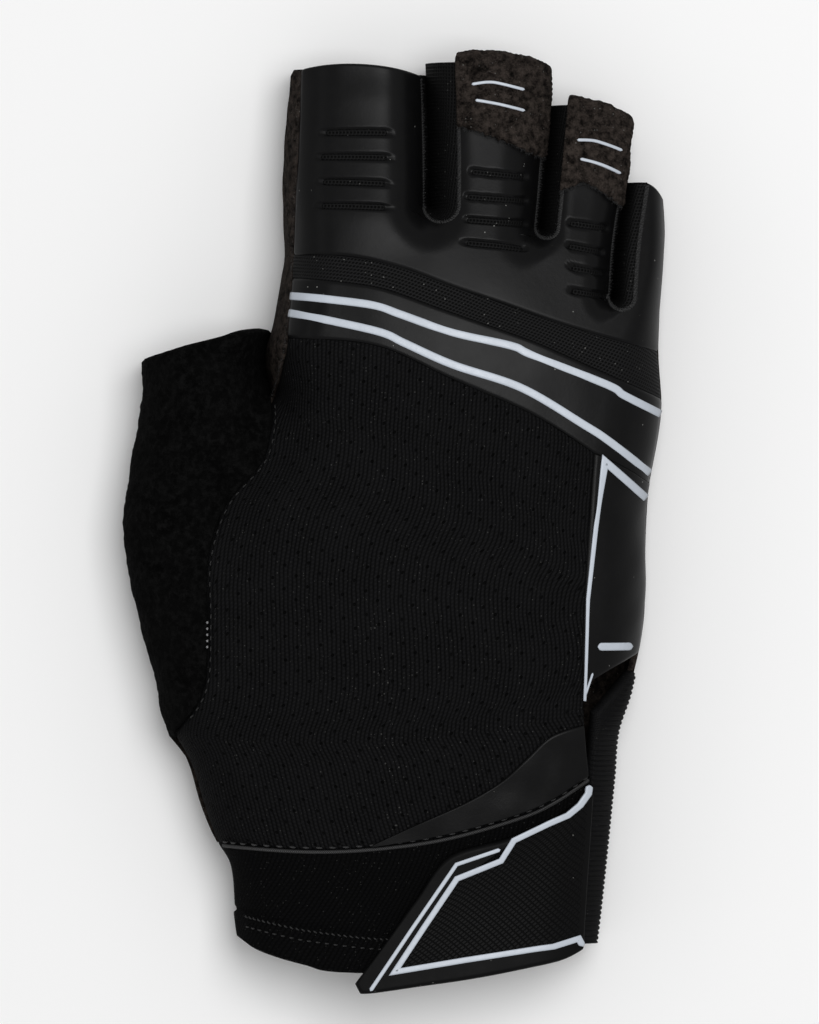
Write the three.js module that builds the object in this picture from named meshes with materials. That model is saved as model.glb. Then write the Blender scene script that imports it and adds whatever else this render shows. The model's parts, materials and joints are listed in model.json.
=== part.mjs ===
// Half-finger weightlifting glove for the right hand, lying palm down with a hand's volume in it.
// X runs to the little-finger side, Y to the fingertips, Z out of the back of the hand.
import * as THREE from 'three';

const { lerp, smoothstep, clamp } = THREE.MathUtils;
const slopeStep = 0.05;

// Overall sizes, in millimetres
const gloveLength = 202;
const palmWidth = 83.4;
const thumbReach = 35.6;

// Heights above the surface that the palm lies on
const seamHeight = 12;
const backHeight = 36;
const cuffHeight = 28;
const tipHeight = 25;

// How far the sides of the hand, the thumb and the fingers round off, seen from above
const handRound = 14;
const thumbRound = 12;
const wideFingerRound = 11;
const ringFingerRound = 6.8;
const littleFingerRound = 3.8;
const palmRoundShare = 0.7;
const sideFullness = 2.5;

// The back falls away from its crest to both sides, and dips beside the thumb
const archFall = 11;
const archCrest = 0.3;
const thumbValleyDepth = 6;
const thumbValleyWidth = 9;

// Where these rises, falls and narrowings start and end, as shares of the glove's length
const backRise = { start: 0.05, end: 0.42 };
const fingerFall = { start: 0.64, end: 1 };
const valleyRise = { start: 0.36, end: 0.6 };
const valleyFall = { start: 0.63, end: 0.7 };
const littleNarrowing = { start: 0.58, end: 0.78 };

// Wall thicknesses
const leatherWall = 1.5;
const overlayWall = 1.2;
const knitWall = 1.6;
const napWall = 1.8;
const sidewallWall = 1;
const cuffWall = 2;
const bindingWall = 2.6;
const bindingRise = 0.6;
const patchWall = 1;
const pullTabWall = 1.4;
const strapTabWall = 2.4;

// Clearances, and lengths of trim
const seamGap = 0.35;
const sidewallGap = 0.6;
const liftGap = 0.4;
const pullTabReturn = 6;

// Width of sidewall seen from above beside each finger, and of the palm's edge from below
const slotEdgeShow = 0.8;
const middleSideShow = 6.4;
const ringSideShow = 3.7;
const littleSideShow = 4.4;
const lastSlotEdgeShow = 0.7;
const palmEdgeShow = 1.5;

// Outer side of the thumb and wrist: along is a share of the glove's length, out of the thumb's reach
const thumbSide = [
  { along: -0.03, out: 0.26 },
  { along: 0.06, out: 0.3 },
  { along: 0.115, out: 0.345 },
  { along: 0.146, out: 0.44 },
  { along: 0.182, out: 0.52 },
  { along: 0.232, out: 0.61 },
  { along: 0.261, out: 0.73 },
  { along: 0.317, out: 0.8 },
  { along: 0.38, out: 0.9 },
  { along: 0.447, out: 0.98 },
  { along: 0.495, out: 1 },
  { along: 0.56, out: 0.94 },
  { along: 0.626, out: 0.88 },
  { along: 0.68, out: 0.895 },
];

// Little-finger side: across is a share of the palm's width from the index side
const littleSide = [
  { along: -0.03, across: 0.8 },
  { along: 0.073, across: 0.831 },
  { along: 0.209, across: 0.865 },
  { along: 0.26, across: 0.876 },
  { along: 0.304, across: 0.91 },
  { along: 0.389, across: 0.948 },
  { along: 0.508, across: 0.955 },
  { along: 0.612, across: 0.993 },
  { along: 0.687, across: 0.985 },
  { along: 0.795, across: 1 },
  { along: 0.86, across: 0.995 },
];

// Slots between neighbours, from crotch to tip: centre and gap are shares of the palm's width.
// Each has the round of its two sides and the sidewall seen beside it from above
const slots = {
  thumbIndex: {
    round: { left: thumbRound, right: thumbRound },
    rows: [
      { along: 0.628, centre: -0.038, gap: 0.008 },
      { along: 0.668, centre: -0.057, gap: 0.008 },
      { along: 0.7, centre: -0.038, gap: 0.01 },
      { along: 0.74, centre: -0.026, gap: 0.024 },
      { along: 0.779, centre: -0.016, gap: 0.03 },
      { along: 0.864, centre: -0.02, gap: 0.03 },
      { along: 0.98, centre: 0, gap: 0.03 },
    ],
  },
  indexMiddle: {
    round: { left: wideFingerRound, right: wideFingerRound },
    show: { left: slotEdgeShow, right: middleSideShow },
    rows: [
      { along: 0.832, centre: 0.378, gap: 0.008 },
      { along: 0.9, centre: 0.378, gap: 0.008 },
      { along: 0.99, centre: 0.37, gap: 0.01 },
    ],
  },
  middleRing: {
    round: { left: wideFingerRound, right: ringFingerRound },
    show: { left: slotEdgeShow, right: ringSideShow },
    rows: [
      { along: 0.808, centre: 0.672, gap: 0.008 },
      { along: 0.857, centre: 0.684, gap: 0.008 },
      { along: 0.949, centre: 0.702, gap: 0.008 },
    ],
  },
  ringLittle: {
    round: { left: ringFingerRound, right: littleFingerRound },
    show: { left: lastSlotEdgeShow, right: littleSideShow },
    rows: [
      { along: 0.732, centre: 0.864, gap: 0.008 },
      { along: 0.788, centre: 0.875, gap: 0.008 },
      { along: 0.857, centre: 0.899, gap: 0.008 },
      { along: 0.92, centre: 0.917, gap: 0.01 },
    ],
  },
};
const palmShow = { left: palmEdgeShow, right: palmEdgeShow };

// Shares of a slot's side: its round crotch, and where the pieces beside the thumb's crotch begin
const arcShare = 0.21;
const crotchStart = 0.05;

// Open edges of the fingers and the thumb: where each ends at its two sides, and its bow
const tips = {
  thumb: { left: 0.665, right: 0.697, bow: 0.004 },
  index: { left: 0.98, right: 0.974, bow: 0.008 },
  middle: { left: 0.987, right: 0.976, bow: 0.006 },
  ring: { left: 0.941, right: 0.921, bow: 0.004 },
  little: { left: 0.857, right: 0.842, bow: 0.003 },
};

// Seam lines, each from the index side or the wrist on
const seams = {
  wrapEdge: [
    { across: -0.036, along: 0.62 },
    { across: -0.012, along: 0.655 },
    { across: 0.005, along: 0.687 },
    { across: 0.018, along: 0.753 },
    { across: 0.021, along: 0.778 },
    { across: 0.032, along: 0.88 },
    { across: 0.042, along: 0.98 },
  ],
  stripTop: [
    { across: 0.021, along: 0.778 },
    { across: 0.166, along: 0.776 },
    { across: 0.306, along: 0.764 },
    { across: 0.443, along: 0.743 },
    { across: 0.58, along: 0.724 },
    { across: 0.72, along: 0.704 },
    { across: 0.858, along: 0.687 },
    { along: 0.674 },
  ],
  stripBottom: [
    { across: 0.018, along: 0.753 },
    { across: 0.166, along: 0.747 },
    { across: 0.272, along: 0.739 },
    { across: 0.401, along: 0.72 },
    { across: 0.512, along: 0.704 },
    { across: 0.649, along: 0.684 },
    { across: 0.789, along: 0.659 },
    { along: 0.622 },
  ],
  bandBottom: [
    { across: 0.005, along: 0.687 },
    { across: 0.237, along: 0.679 },
    { across: 0.443, along: 0.642 },
    { across: 0.649, along: 0.605 },
    { across: 0.815, along: 0.562 },
  ],
  sideTop: [
    { across: 0.815, along: 0.562 },
    { across: 0.89, along: 0.548 },
    { along: 0.53 },
  ],
  thumbSeam: [
    { across: -0.3, along: 0.258 },
    { across: -0.24, along: 0.285 },
    { across: -0.208, along: 0.32 },
    { across: -0.203, along: 0.385 },
    { across: -0.203, along: 0.447 },
    { across: -0.158, along: 0.505 },
    { across: -0.063, along: 0.552 },
    { across: -0.036, along: 0.59 },
    { across: -0.036, along: 0.62 },
  ],
  sideBorder: [
    { across: 0.805, along: 0.212 },
    { across: 0.79, along: 0.27 },
    { across: 0.785, along: 0.33 },
    { across: 0.788, along: 0.4 },
    { across: 0.799, along: 0.468 },
    { across: 0.815, along: 0.562 },
  ],
  bindingEdge: [
    { across: 0.772, along: 0.03 },
    { across: 0.79, along: 0.125 },
    { across: 0.805, along: 0.212 },
    { across: 0.815, along: 0.26 },
    { across: 0.822, along: 0.3 },
  ],
  cuffSeam: [
    { across: -0.175, along: 0.139 },
    { across: 0.058, along: 0.133 },
    { across: 0.24, along: 0.136 },
    { across: 0.427, along: 0.147 },
    { across: 0.617, along: 0.169 },
    { across: 0.71, along: 0.186 },
    { across: 0.805, along: 0.212 },
  ],
  hem: [
    { across: -0.12, along: 0.035 },
    { across: -0.066, along: 0.022 },
    { across: 0.05, along: 0.008 },
    { across: 0.145, along: 0 },
    { across: 0.435, along: 0 },
    { across: 0.673, along: 0.016 },
    { across: 0.772, along: 0.03 },
  ],
  patchTop: [
    { across: 0.27, along: 0.144 },
    { across: 0.356, along: 0.162 },
    { across: 0.475, along: 0.184 },
    { across: 0.57, along: 0.207 },
    { across: 0.636, along: 0.232 },
    { across: 0.7, along: 0.256 },
    { across: 0.775, along: 0.265 },
  ],
  patchBottom: [
    { across: 0.27, along: 0.14 },
    { across: 0.427, along: 0.15 },
    { across: 0.617, along: 0.172 },
    { across: 0.71, along: 0.189 },
    { across: 0.79, along: 0.213 },
  ],
  tabTop: [
    { across: 0.187, along: -0.012 },
    { across: 0.264, along: 0.031 },
    { across: 0.348, along: 0.081 },
    { across: 0.433, along: 0.127 },
    { across: 0.586, along: 0.147 },
    { across: 0.72, along: 0.172 },
    { across: 0.795, along: 0.196 },
  ],
  tabBottom: [
    { across: 0.201, along: -0.023 },
    { across: 0.24, along: -0.022 },
    { across: 0.356, along: -0.015 },
    { across: 0.475, along: -0.008 },
    { across: 0.594, along: 0.001 },
    { across: 0.71, along: 0.012 },
    { across: 0.768, along: 0.024 },
  ],
};

// Where the seams end on the two outer sides, as shares of the glove's length
const wristStart = 0.035;
const cuffTop = 0.139;
const palmHeel = 0.17;
const thumbFoot = 0.256;
const thumbRoot = 0.262;
const thumbSeamStart = 0.03;
const bindingTop = { inner: 0.28, outer: 0.325 };
const sidePanelEnd = { inner: 0.31, outer: 0.345 };
const pullTabFoot = { middle: { left: 0.915, right: 0.884 }, ring: { left: 0.854, right: 0.833 } };
const palmFan = [
  { start: 0, end: 0.5, columns: 7 },
  { start: 0.5, end: 0.75, columns: 5 },
  { start: 0.75, end: 0.9, columns: 4 },
  { start: 0.9, end: 1, columns: 5 },
];

// Facets along and across the pieces
const seamRows = 8;
const fingerRows = [8, 8, 9];
const knuckle = { rows: 12, columns: [8, 7, 6, 5] };
const strip = { rows: 2, columns: 20 };
const band = { rows: 4, columns: 13, sideColumns: 6 };
const back = { rows: 3, columns: 15, footRows: 4 };
const sideFacets = { rows: 8, columns: 6 };
const patch = { rows: 4, columns: 12 };
const thumb = { rows: 5, columns: 9 };
const palm = { footRows: 2, innerRows: 4, sideRows: 10, wrapRows: 13, wrapColumns: 3 };
const sidewallDepth = 4;
const cuffFacets = { rows: 5, columns: 14 };
const binding = { rows: 10, columns: 5 };
const tab = { rows: 5, columns: 14 };
const pull = { rows: 5, columns: 7, turns: 6 };

// A smooth value between a table's rows
function rowValue(rows, column, along) {
  const last = rows.length - 1;
  const at = clamp(along, rows[0].along, rows[last].along);
  const i = clamp(rows.findIndex((row) => row.along > at) - 1, 0, last - 1);
  const start = at === rows[last].along ? last - 1 : i;
  const slope = (k) => {
    const before = rows[Math.max(k - 1, 0)];
    const after = rows[Math.min(k + 1, last)];
    return (after[column] - before[column]) / (after.along - before.along);
  };
  const a = rows[start];
  const b = rows[start + 1];
  const span = b.along - a.along;
  const t = (at - a.along) / span;
  const rise = t * t * (3 - 2 * t);
  const lead = t * (1 - t) * (1 - t) * span * slope(start);
  const trail = t * t * (t - 1) * span * slope(start + 1);
  return lerp(a[column], b[column], rise) + lead + trail;
}

const stepBetween = (along, { start, end }) => smoothstep(along, start, end);
const thumbSideX = (y) => -thumbReach * rowValue(thumbSide, 'out', y / gloveLength);
const littleSideX = (y) => palmWidth * rowValue(littleSide, 'across', y / gloveLength);

function slotAt({ rows }, y) {
  const along = y / gloveLength;
  return {
    centre: palmWidth * rowValue(rows, 'centre', along),
    half: palmWidth * rowValue(rows, 'gap', along) / 2,
  };
}

// How far the surface has rounded off at a distance inside an outer side, squared
function rounded(distance, radius) {
  return 1 - (1 - Math.min(distance / radius, 1)) ** sideFullness;
}

function sideDistance(sideX, x, y) {
  const lean = (sideX(y + 1) - sideX(y - 1)) / 2;
  return (x - sideX(y)) / Math.hypot(1, lean);
}

function slotRounded(slot, x, y, share) {
  const crotch = slot.rows[0].along * gloveLength;
  const { centre, half } = slotAt(slot, Math.max(y, crotch));
  const distance = Math.hypot(x - centre, Math.min(y - crotch, 0)) - half;
  const { left, right } = slot.round;
  const radius = lerp(left, right, smoothstep(x, centre - left / 2, centre + right / 2));
  return rounded(distance, radius * share);
}

function sidesRounded(x, y, share) {
  const narrow = stepBetween(y / gloveLength, littleNarrowing);
  const littleRound = lerp(handRound, littleFingerRound, narrow);
  const left = rounded(sideDistance(thumbSideX, x, y), thumbRound * share);
  const right = rounded(-sideDistance(littleSideX, x, y), littleRound * share);
  return Object.values(slots).reduce(
    (product, slot) => product * slotRounded(slot, x, y, share),
    left * right,
  );
}

// Height of the back above the resting surface, away from the sides
function crown(x, y) {
  const along = y / gloveLength;
  const across = x / palmWidth;
  const hand = lerp(cuffHeight, backHeight, stepBetween(along, backRise));
  const spine = lerp(hand, tipHeight, stepBetween(along, fingerFall));
  const fall = archFall * ((across - archCrest) / (1 - archCrest)) ** 2;
  const valleyX = palmWidth * rowValue(seams.thumbSeam, 'across', along);
  const valleyShare = stepBetween(along, valleyRise) * (1 - stepBetween(along, valleyFall));
  const valley = thumbValleyDepth * valleyShare * Math.exp(-(((x - valleyX) / thumbValleyWidth) ** 2));
  return spine - fall - valley;
}

// The glove's outer surface over a place, on the back or the palm side, and its outward normal.
// lift raises the back's edge off the side seam
function surface(place, onBack, lift = 0) {
  const edge = seamHeight + lift;
  const reach = (x, y) => (onBack ? crown(x, y) - edge : seamHeight);
  const share = onBack ? 1 : palmRoundShare;
  const squared = (x, y) => reach(x, y) ** 2 * sidesRounded(x, y, share);
  const { x, y } = place;
  const height = Math.sqrt(Math.max(squared(x, y), 0));
  const slopeX = (squared(x + slopeStep, y) - squared(x - slopeStep, y)) / (2 * slopeStep);
  const slopeY = (squared(x, y + slopeStep) - squared(x, y - slopeStep)) / (2 * slopeStep);
  const up = onBack ? 1 : -1;
  return {
    point: new THREE.Vector3(x, y, edge + up * height),
    normal: new THREE.Vector3(-slopeX, -slopeY, up * 2 * height).normalize(),
  };
}

// Curves seen from above: each takes a share from 0 to 1 and gives a place
const place = (x, y) => new THREE.Vector2(x, y);
const line = (a, b) => (share) => a.clone().lerp(b, share);
const part = (curve, from, to) => (share) => curve(lerp(from, to, share));

function seam(name) {
  const points = seams[name].map(({ across, along }) => {
    const y = along * gloveLength;
    return place(across === undefined ? littleSideX(y) : across * palmWidth, y);
  });
  const spline = new THREE.SplineCurve(points);
  return (share) => spline.getPoint(share);
}

function side(sideX, from, to) {
  return (share) => {
    const y = lerp(from, to, share) * gloveLength;
    return place(sideX(y), y);
  };
}

// One side of a slot, from the bottom of its crotch round to the tip, outset into the finger
function slotEdge(slot, hand, tip, outset = { left: 0, right: 0 }) {
  const way = hand === 'left' ? -1 : 1;
  const crotch = slot.rows[0].along * gloveLength;
  const lean = (outset.right - outset.left) / 2;
  return (share) => {
    const turn = Math.min(share / arcShare, 1);
    const y = lerp(crotch, tip * gloveLength, Math.max(share - arcShare, 0) / (1 - arcShare));
    const { centre, half } = slotAt(slot, y);
    const radius = half + (outset.left + outset.right) / 2;
    const angle = turn * Math.PI / 2;
    return place(centre + lean + way * radius * Math.sin(angle), y - radius * Math.cos(angle));
  };
}

function tipEdge(from, to, bow) {
  return (share) => {
    const at = from.clone().lerp(to, share);
    return place(at.x, at.y + 4 * bow * gloveLength * share * (1 - share));
  };
}

// The share at which a curve reaches a value of x or y, for a curve that only rises in it
function shareAt(curve, axis, value) {
  let low = 0;
  let high = 1;
  for (let i = 0; i < 40; i += 1) {
    const middle = (low + high) / 2;
    if (curve(middle)[axis] < value) low = middle;
    else high = middle;
  }
  return (low + high) / 2;
}

// Places along a curve, closer together towards the ends that bunch names
const spacing = {
  none: (share) => share,
  start: (share) => 1 - Math.cos(share * Math.PI / 2),
  end: (share) => Math.sin(share * Math.PI / 2),
  both: (share) => (1 - Math.cos(share * Math.PI)) / 2,
};
function sample(curve, count, bunch = 'none') {
  return Array.from({ length: count + 1 }, (_, i) => curve(spacing[bunch](i / count)));
}
const chain = (...runs) => runs.flatMap((run, i) => (i === 0 ? run : run.slice(1)));

function runningShares(a, b) {
  const lengths = [0];
  for (let i = 1; i < a.length; i += 1) {
    lengths.push(lengths[i - 1] + a[i].distanceTo(a[i - 1]) + b[i].distanceTo(b[i - 1]));
  }
  return lengths.map((length) => length / lengths[lengths.length - 1]);
}

// A grid of places inside four edges that meet at its corners
function fill({ lower, upper, left, right }) {
  const across = runningShares(lower, upper);
  const along = runningShares(left, right);
  const last = lower.length - 1;
  return along.map((t, j) => across.map((s, i) => {
    if (i === 0) return left[j].clone();
    if (i === last) return right[j].clone();
    const between = left[j].clone().lerp(right[j], s).add(lower[i].clone().lerp(upper[i], t));
    const low = lower[0].clone().lerp(lower[last], s);
    const high = upper[0].clone().lerp(upper[last], s);
    return between.sub(low.lerp(high, t));
  }));
}

// Draws the named edges of a grid in by half a seam gap, left and right only between two rows
function drawIn(grid, edges, from = 0, to = grid.length) {
  const rows = grid.length;
  const columns = grid[0].length;
  const shift = (edge, inside) => {
    const step = inside.clone().sub(edge);
    edge.add(step.setLength(Math.min(seamGap / 2, step.length() / 2)));
  };
  grid.slice(from, to).forEach((row) => {
    if (edges.includes('left')) shift(row[0], row[1]);
    if (edges.includes('right')) shift(row[columns - 1], row[columns - 2]);
  });
  for (let i = 0; i < columns; i += 1) {
    if (edges.includes('lower')) shift(grid[0][i], grid[1][i]);
    if (edges.includes('upper')) shift(grid[rows - 1][i], grid[rows - 2][i]);
  }
  return grid;
}

const lay = (grid, onBack, lift = 0) => grid.map((row) => row.map((at) => surface(at, onBack, lift)));

// Normals of a free grid of points, from its neighbours
function withNormals(points) {
  const rows = points.length - 1;
  const columns = points[0].length - 1;
  return points.map((row, j) => row.map((point, i) => {
    const across = row[Math.min(i + 1, columns)].clone().sub(row[Math.max(i - 1, 0)]);
    const along = points[Math.min(j + 1, rows)][i].clone().sub(points[Math.max(j - 1, 0)][i]);
    return { point, normal: across.cross(along).normalize() };
  }));
}

// Joins grids that share edges into one closed wall between two offsets from their surface
function wall(grids, outer, inner) {
  const keys = new Map();
  const spots = [];
  const indexOf = ({ point, normal }) => {
    const key = point.toArray().map((value) => Math.round(value * 1000)).join();
    if (!keys.has(key)) {
      keys.set(key, spots.length);
      spots.push({ point, normal: new THREE.Vector3() });
    }
    spots[keys.get(key)].normal.add(normal);
    return keys.get(key);
  };
  const facing = (corners) => {
    const [a, b, c] = corners.map((i) => spots[i]);
    const cross = b.point.clone().sub(a.point).cross(c.point.clone().sub(a.point));
    return cross.dot(a.normal.clone().add(b.normal).add(c.normal));
  };
  const faces = grids.flatMap((grid) => {
    const index = grid.map((row) => row.map(indexOf));
    const halves = [];
    for (let j = 0; j + 1 < grid.length; j += 1) {
      for (let i = 0; i + 1 < grid[0].length; i += 1) {
        const quad = [index[j][i], index[j][i + 1], index[j + 1][i + 1], index[j + 1][i]];
        const reach = (m, n) => spots[quad[m]].point.distanceTo(spots[quad[n]].point);
        const turn = reach(0, 2) < reach(1, 3) ? 0 : 1;
        const [a, b, c, d] = quad.map((_, k) => quad[(k + turn) % 4]);
        halves.push(...[[a, b, c], [a, c, d]].filter((half) => new Set(half).size === 3));
      }
    }
    const outward = halves.reduce((sum, half) => sum + facing(half), 0) > 0;
    return outward ? halves : halves.map(([a, b, c]) => [a, c, b]);
  });
  const offset = (distance) => spots.flatMap(({ point, normal }) => (
    point.clone().addScaledVector(normal.clone().normalize(), distance).toArray()
  ));
  const count = spots.length;
  const edges = new Set(faces.flatMap(([a, b, c]) => [`${a},${b}`, `${b},${c}`, `${c},${a}`]));
  const rims = [...edges]
    .map((edge) => edge.split(',').map(Number))
    .filter(([a, b]) => !edges.has(`${b},${a}`))
    .flatMap(([a, b]) => [[b, a, a + count], [b, a + count, b + count]]);
  const backs = faces.map(([a, b, c]) => [a + count, c + count, b + count]);
  const geometry = new THREE.BufferGeometry();
  const positions = [...offset(outer), ...offset(inner)];
  geometry.setAttribute('position', new THREE.Float32BufferAttribute(positions, 3));
  geometry.setIndex([...faces, ...backs, ...rims].flat());
  return geometry;
}

// The curves that several pieces share
const curves = {
  wrapEdge: seam('wrapEdge'),
  stripTop: seam('stripTop'),
  stripBottom: seam('stripBottom'),
  thumbSeam: seam('thumbSeam'),
  sideBorder: seam('sideBorder'),
  bindingEdge: seam('bindingEdge'),
  cuffSeam: seam('cuffSeam'),
  hem: seam('hem'),
};
const thumbSeamRun = sample(part(curves.thumbSeam, thumbSeamStart, 1), seamRows);
const wrapRow = (row) => row / (seams.wrapEdge.length - 1);
const bindingShare = (along) => shareAt(curves.bindingEdge, 'y', along * gloveLength);
const sideFoot = side(thumbSideX, cuffTop, thumbFoot);
const heel = line(sideFoot(0), curves.bindingEdge(bindingShare(palmHeel)));
const heelRuns = palmFan.map(({ start, end, columns }) => (
  sample(part(heel, start, end), columns, 'both')
));
const fingers = ['index', 'middle', 'ring', 'little'];
const fingerSlots = [slots.indexMiddle, slots.middleRing, slots.ringLittle];
const halfGap = (outset, way) => ({
  left: outset.left + way * sidewallGap / 2,
  right: outset.right + way * sidewallGap / 2,
});

// One side of a slot between two fingers, up to the tip of the finger on that side
function fingerEdge(i, hand, outset) {
  const tip = hand === 'left' ? tips[fingers[i]].right : tips[fingers[i + 1]].left;
  return sample(slotEdge(fingerSlots[i], hand, tip, outset), fingerRows[i]);
}

// Rails of the four finger columns: below the crotches neighbours share one line
function fingerRails(starts, outsets, first, last) {
  const rows = first.length - 1;
  const shared = starts.map((start, i) => (
    sample(line(start, fingerEdge(i, 'left', outsets[i])[0]), rows - fingerRows[i])
  ));
  const along = (i, hand) => chain(shared[i], fingerEdge(i, hand, outsets[i]));
  return fingers.map((finger, i) => ({
    finger,
    left: i === 0 ? first : along(i - 1, 'right'),
    right: i === fingers.length - 1 ? last : along(i, 'left'),
  }));
}

function knucklePanel() {
  const { rows, columns } = knuckle;
  const cuts = fingerSlots.map((slot) => (
    shareAt(curves.stripTop, 'x', slotAt(slot, slot.rows[0].along * gloveLength).centre)
  ));
  const first = sample(part(curves.wrapEdge, wrapRow(4), 1), rows);
  const foot = seams.stripTop[seams.stripTop.length - 1].along;
  const last = sample(side(littleSideX, foot, tips.little.right), rows);
  const outsets = fingerSlots.map(({ show }) => halfGap(show, 1));
  const rails = fingerRails(cuts.map((cut) => curves.stripTop(cut)), outsets, first, last);
  const grids = rails.map(({ finger, left, right }, i) => {
    const lower = part(curves.stripTop, [0, ...cuts][i], [...cuts, 1][i]);
    const upper = tipEdge(left[rows], right[rows], tips[finger].bow);
    const grid = fill({
      lower: sample(lower, columns[i], 'both'),
      upper: sample(upper, columns[i], 'both'),
      left,
      right,
    });
    return drawIn(grid, i === 0 ? ['lower', 'left'] : ['lower']);
  });
  return wall(grids.map((grid) => lay(grid, true, seamGap)), 0, -overlayWall);
}

function meshStrip() {
  const right = side(littleSideX, seams.stripBottom.at(-1).along, seams.stripTop.at(-1).along);
  const grid = fill({
    lower: sample(curves.stripBottom, strip.columns, 'both'),
    upper: sample(curves.stripTop, strip.columns, 'both'),
    left: sample(part(curves.wrapEdge, wrapRow(3), wrapRow(4)), strip.rows),
    right: sample(right, strip.rows),
  });
  return wall([lay(drawIn(grid, ['left', 'lower', 'upper']), true, seamGap)], 0, -sidewallWall);
}

function stripeBand() {
  const right = side(littleSideX, seams.sideTop.at(-1).along, seams.stripBottom.at(-1).along);
  const grid = fill({
    lower: chain(
      sample(seam('bandBottom'), band.columns, 'start'),
      sample(seam('sideTop'), band.sideColumns, 'end'),
    ),
    upper: sample(curves.stripBottom, band.columns + band.sideColumns, 'both'),
    left: sample(part(curves.wrapEdge, wrapRow(2), wrapRow(3)), band.rows),
    right: sample(right, band.rows),
  });
  return wall([lay(drawIn(grid, ['left', 'lower', 'upper']), true, seamGap)], 0, -overlayWall);
}

function backPanel() {
  const foot = sample(sideFoot, back.footRows);
  const wrapFoot = sample(part(curves.wrapEdge, 0, wrapRow(2)), back.rows);
  const left = chain(foot, [null, ...thumbSeamRun], wrapFoot);
  const grid = fill({
    lower: sample(curves.cuffSeam, back.columns, 'start'),
    upper: sample(seam('bandBottom'), back.columns, 'start'),
    left,
    right: sample(curves.sideBorder, left.length - 1),
  });
  drawIn(grid, ['left'], foot.length);
  return wall([lay(drawIn(grid, ['right', 'lower', 'upper']), true, seamGap)], 0, -knitWall);
}

function sidePanel() {
  const start = shareAt(curves.sideBorder, 'y', sidePanelEnd.inner * gloveLength);
  const outer = side(littleSideX, sidePanelEnd.outer, seams.sideTop.at(-1).along);
  const grid = fill({
    lower: sample(line(curves.sideBorder(start), outer(0)), sideFacets.columns, 'end'),
    upper: sample(seam('sideTop'), sideFacets.columns, 'end'),
    left: sample(part(curves.sideBorder, start, 1), sideFacets.rows),
    right: sample(outer, sideFacets.rows),
  });
  return wall([lay(drawIn(grid, ['left', 'upper']), true, seamGap)], 0, -overlayWall);
}

function wristPatch() {
  const lower = seam('patchBottom');
  const upper = seam('patchTop');
  const grid = fill({
    lower: sample(lower, patch.columns),
    upper: sample(upper, patch.columns),
    left: sample(line(lower(0), upper(0)), patch.rows),
    right: sample(line(lower(1), upper(1)), patch.rows),
  });
  return wall([lay(grid, true, seamGap)], liftGap + patchWall, liftGap);
}

function thumbSleeve() {
  const outer = side(thumbSideX, thumbRoot, tips.thumb.left);
  const slot = slotEdge(slots.thumbIndex, 'left', tips.thumb.right);
  const right = chain(thumbSeamRun, [null, ...sample(part(slot, crotchStart, 1), thumb.rows)]);
  const left = sample(outer, right.length - 1);
  const grid = fill({
    lower: sample(line(left[0], right[0]), thumb.columns, 'both'),
    upper: sample(tipEdge(left.at(-1), right.at(-1), tips.thumb.bow), thumb.columns, 'both'),
    left,
    right,
  });
  drawIn(grid, ['right'], 0, thumbSeamRun.length);
  return wall([lay(grid, true), lay(grid, false)], 0, -napWall);
}

// Palm leather: four finger columns that run down to the wrist, and the wrap up the index side
function palmPanel() {
  const starts = heelRuns.slice(1).map((run) => run[0]);
  const wrapSide = slotEdge(slots.thumbIndex, 'right', tips.index.left);
  const wrap = sample(part(wrapSide, crotchStart, 1), palm.wrapRows);
  const first = chain(
    sample(sideFoot, palm.footRows),
    [null, ...thumbSeamRun.slice(0, -1)],
    [null, ...wrap],
  );
  const crotch = slots.ringLittle.rows[0].along;
  const inner = sample(part(curves.bindingEdge, bindingShare(palmHeel), 1), palm.innerRows);
  const last = chain(
    inner,
    [null, ...sample(side(littleSideX, sidePanelEnd.outer, crotch), palm.sideRows)],
    sample(side(littleSideX, crotch, tips.little.right), fingerRows[2]),
  );
  const outsets = fingerSlots.map(() => halfGap(palmShow, 1));
  const rails = fingerRails(starts, outsets, first, last);
  const seamStart = palm.footRows + 1;
  const seamEnd = seamStart + thumbSeamRun.length - 1;
  const grids = rails.map(({ finger, left, right }, i) => {
    const { columns } = palmFan[i];
    const grid = fill({
      lower: heelRuns[i],
      upper: sample(tipEdge(left.at(-1), right.at(-1), tips[finger].bow), columns, 'both'),
      left,
      right,
    });
    if (i === 0) drawIn(grid, ['left'], seamStart, seamEnd);
    if (i === rails.length - 1) drawIn(grid, ['right'], 0, inner.length);
    return lay(drawIn(grid, ['lower']), false);
  });
  const edge = sample(curves.wrapEdge, palm.wrapRows);
  const wrapGrid = fill({
    lower: sample(line(wrap[0], edge[0]), palm.wrapColumns, 'start'),
    upper: sample(line(wrap.at(-1), edge.at(-1)), palm.wrapColumns, 'start'),
    left: wrap,
    right: edge,
  });
  return wall([...grids, lay(drawIn(wrapGrid, ['right']), true)], 0, -leatherWall);
}

// Mesh between two fingers, down one side of the slot, round its crotch and up the other
function sidewall(i) {
  const grid = (outset, onBack) => ['left', 'right'].map((hand) => lay(
    Array.from({ length: sidewallDepth + 1 }, (_, k) => {
      const share = (k / sidewallDepth) ** 2;
      const drawn = halfGap(outset, -1);
      return fingerEdge(i, hand, { left: drawn.left * share, right: drawn.right * share });
    }),
    onBack,
  ));
  const grids = [...grid(fingerSlots[i].show, true), ...grid(palmShow, false)];
  return wall(grids, 0, -sidewallWall);
}

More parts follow.
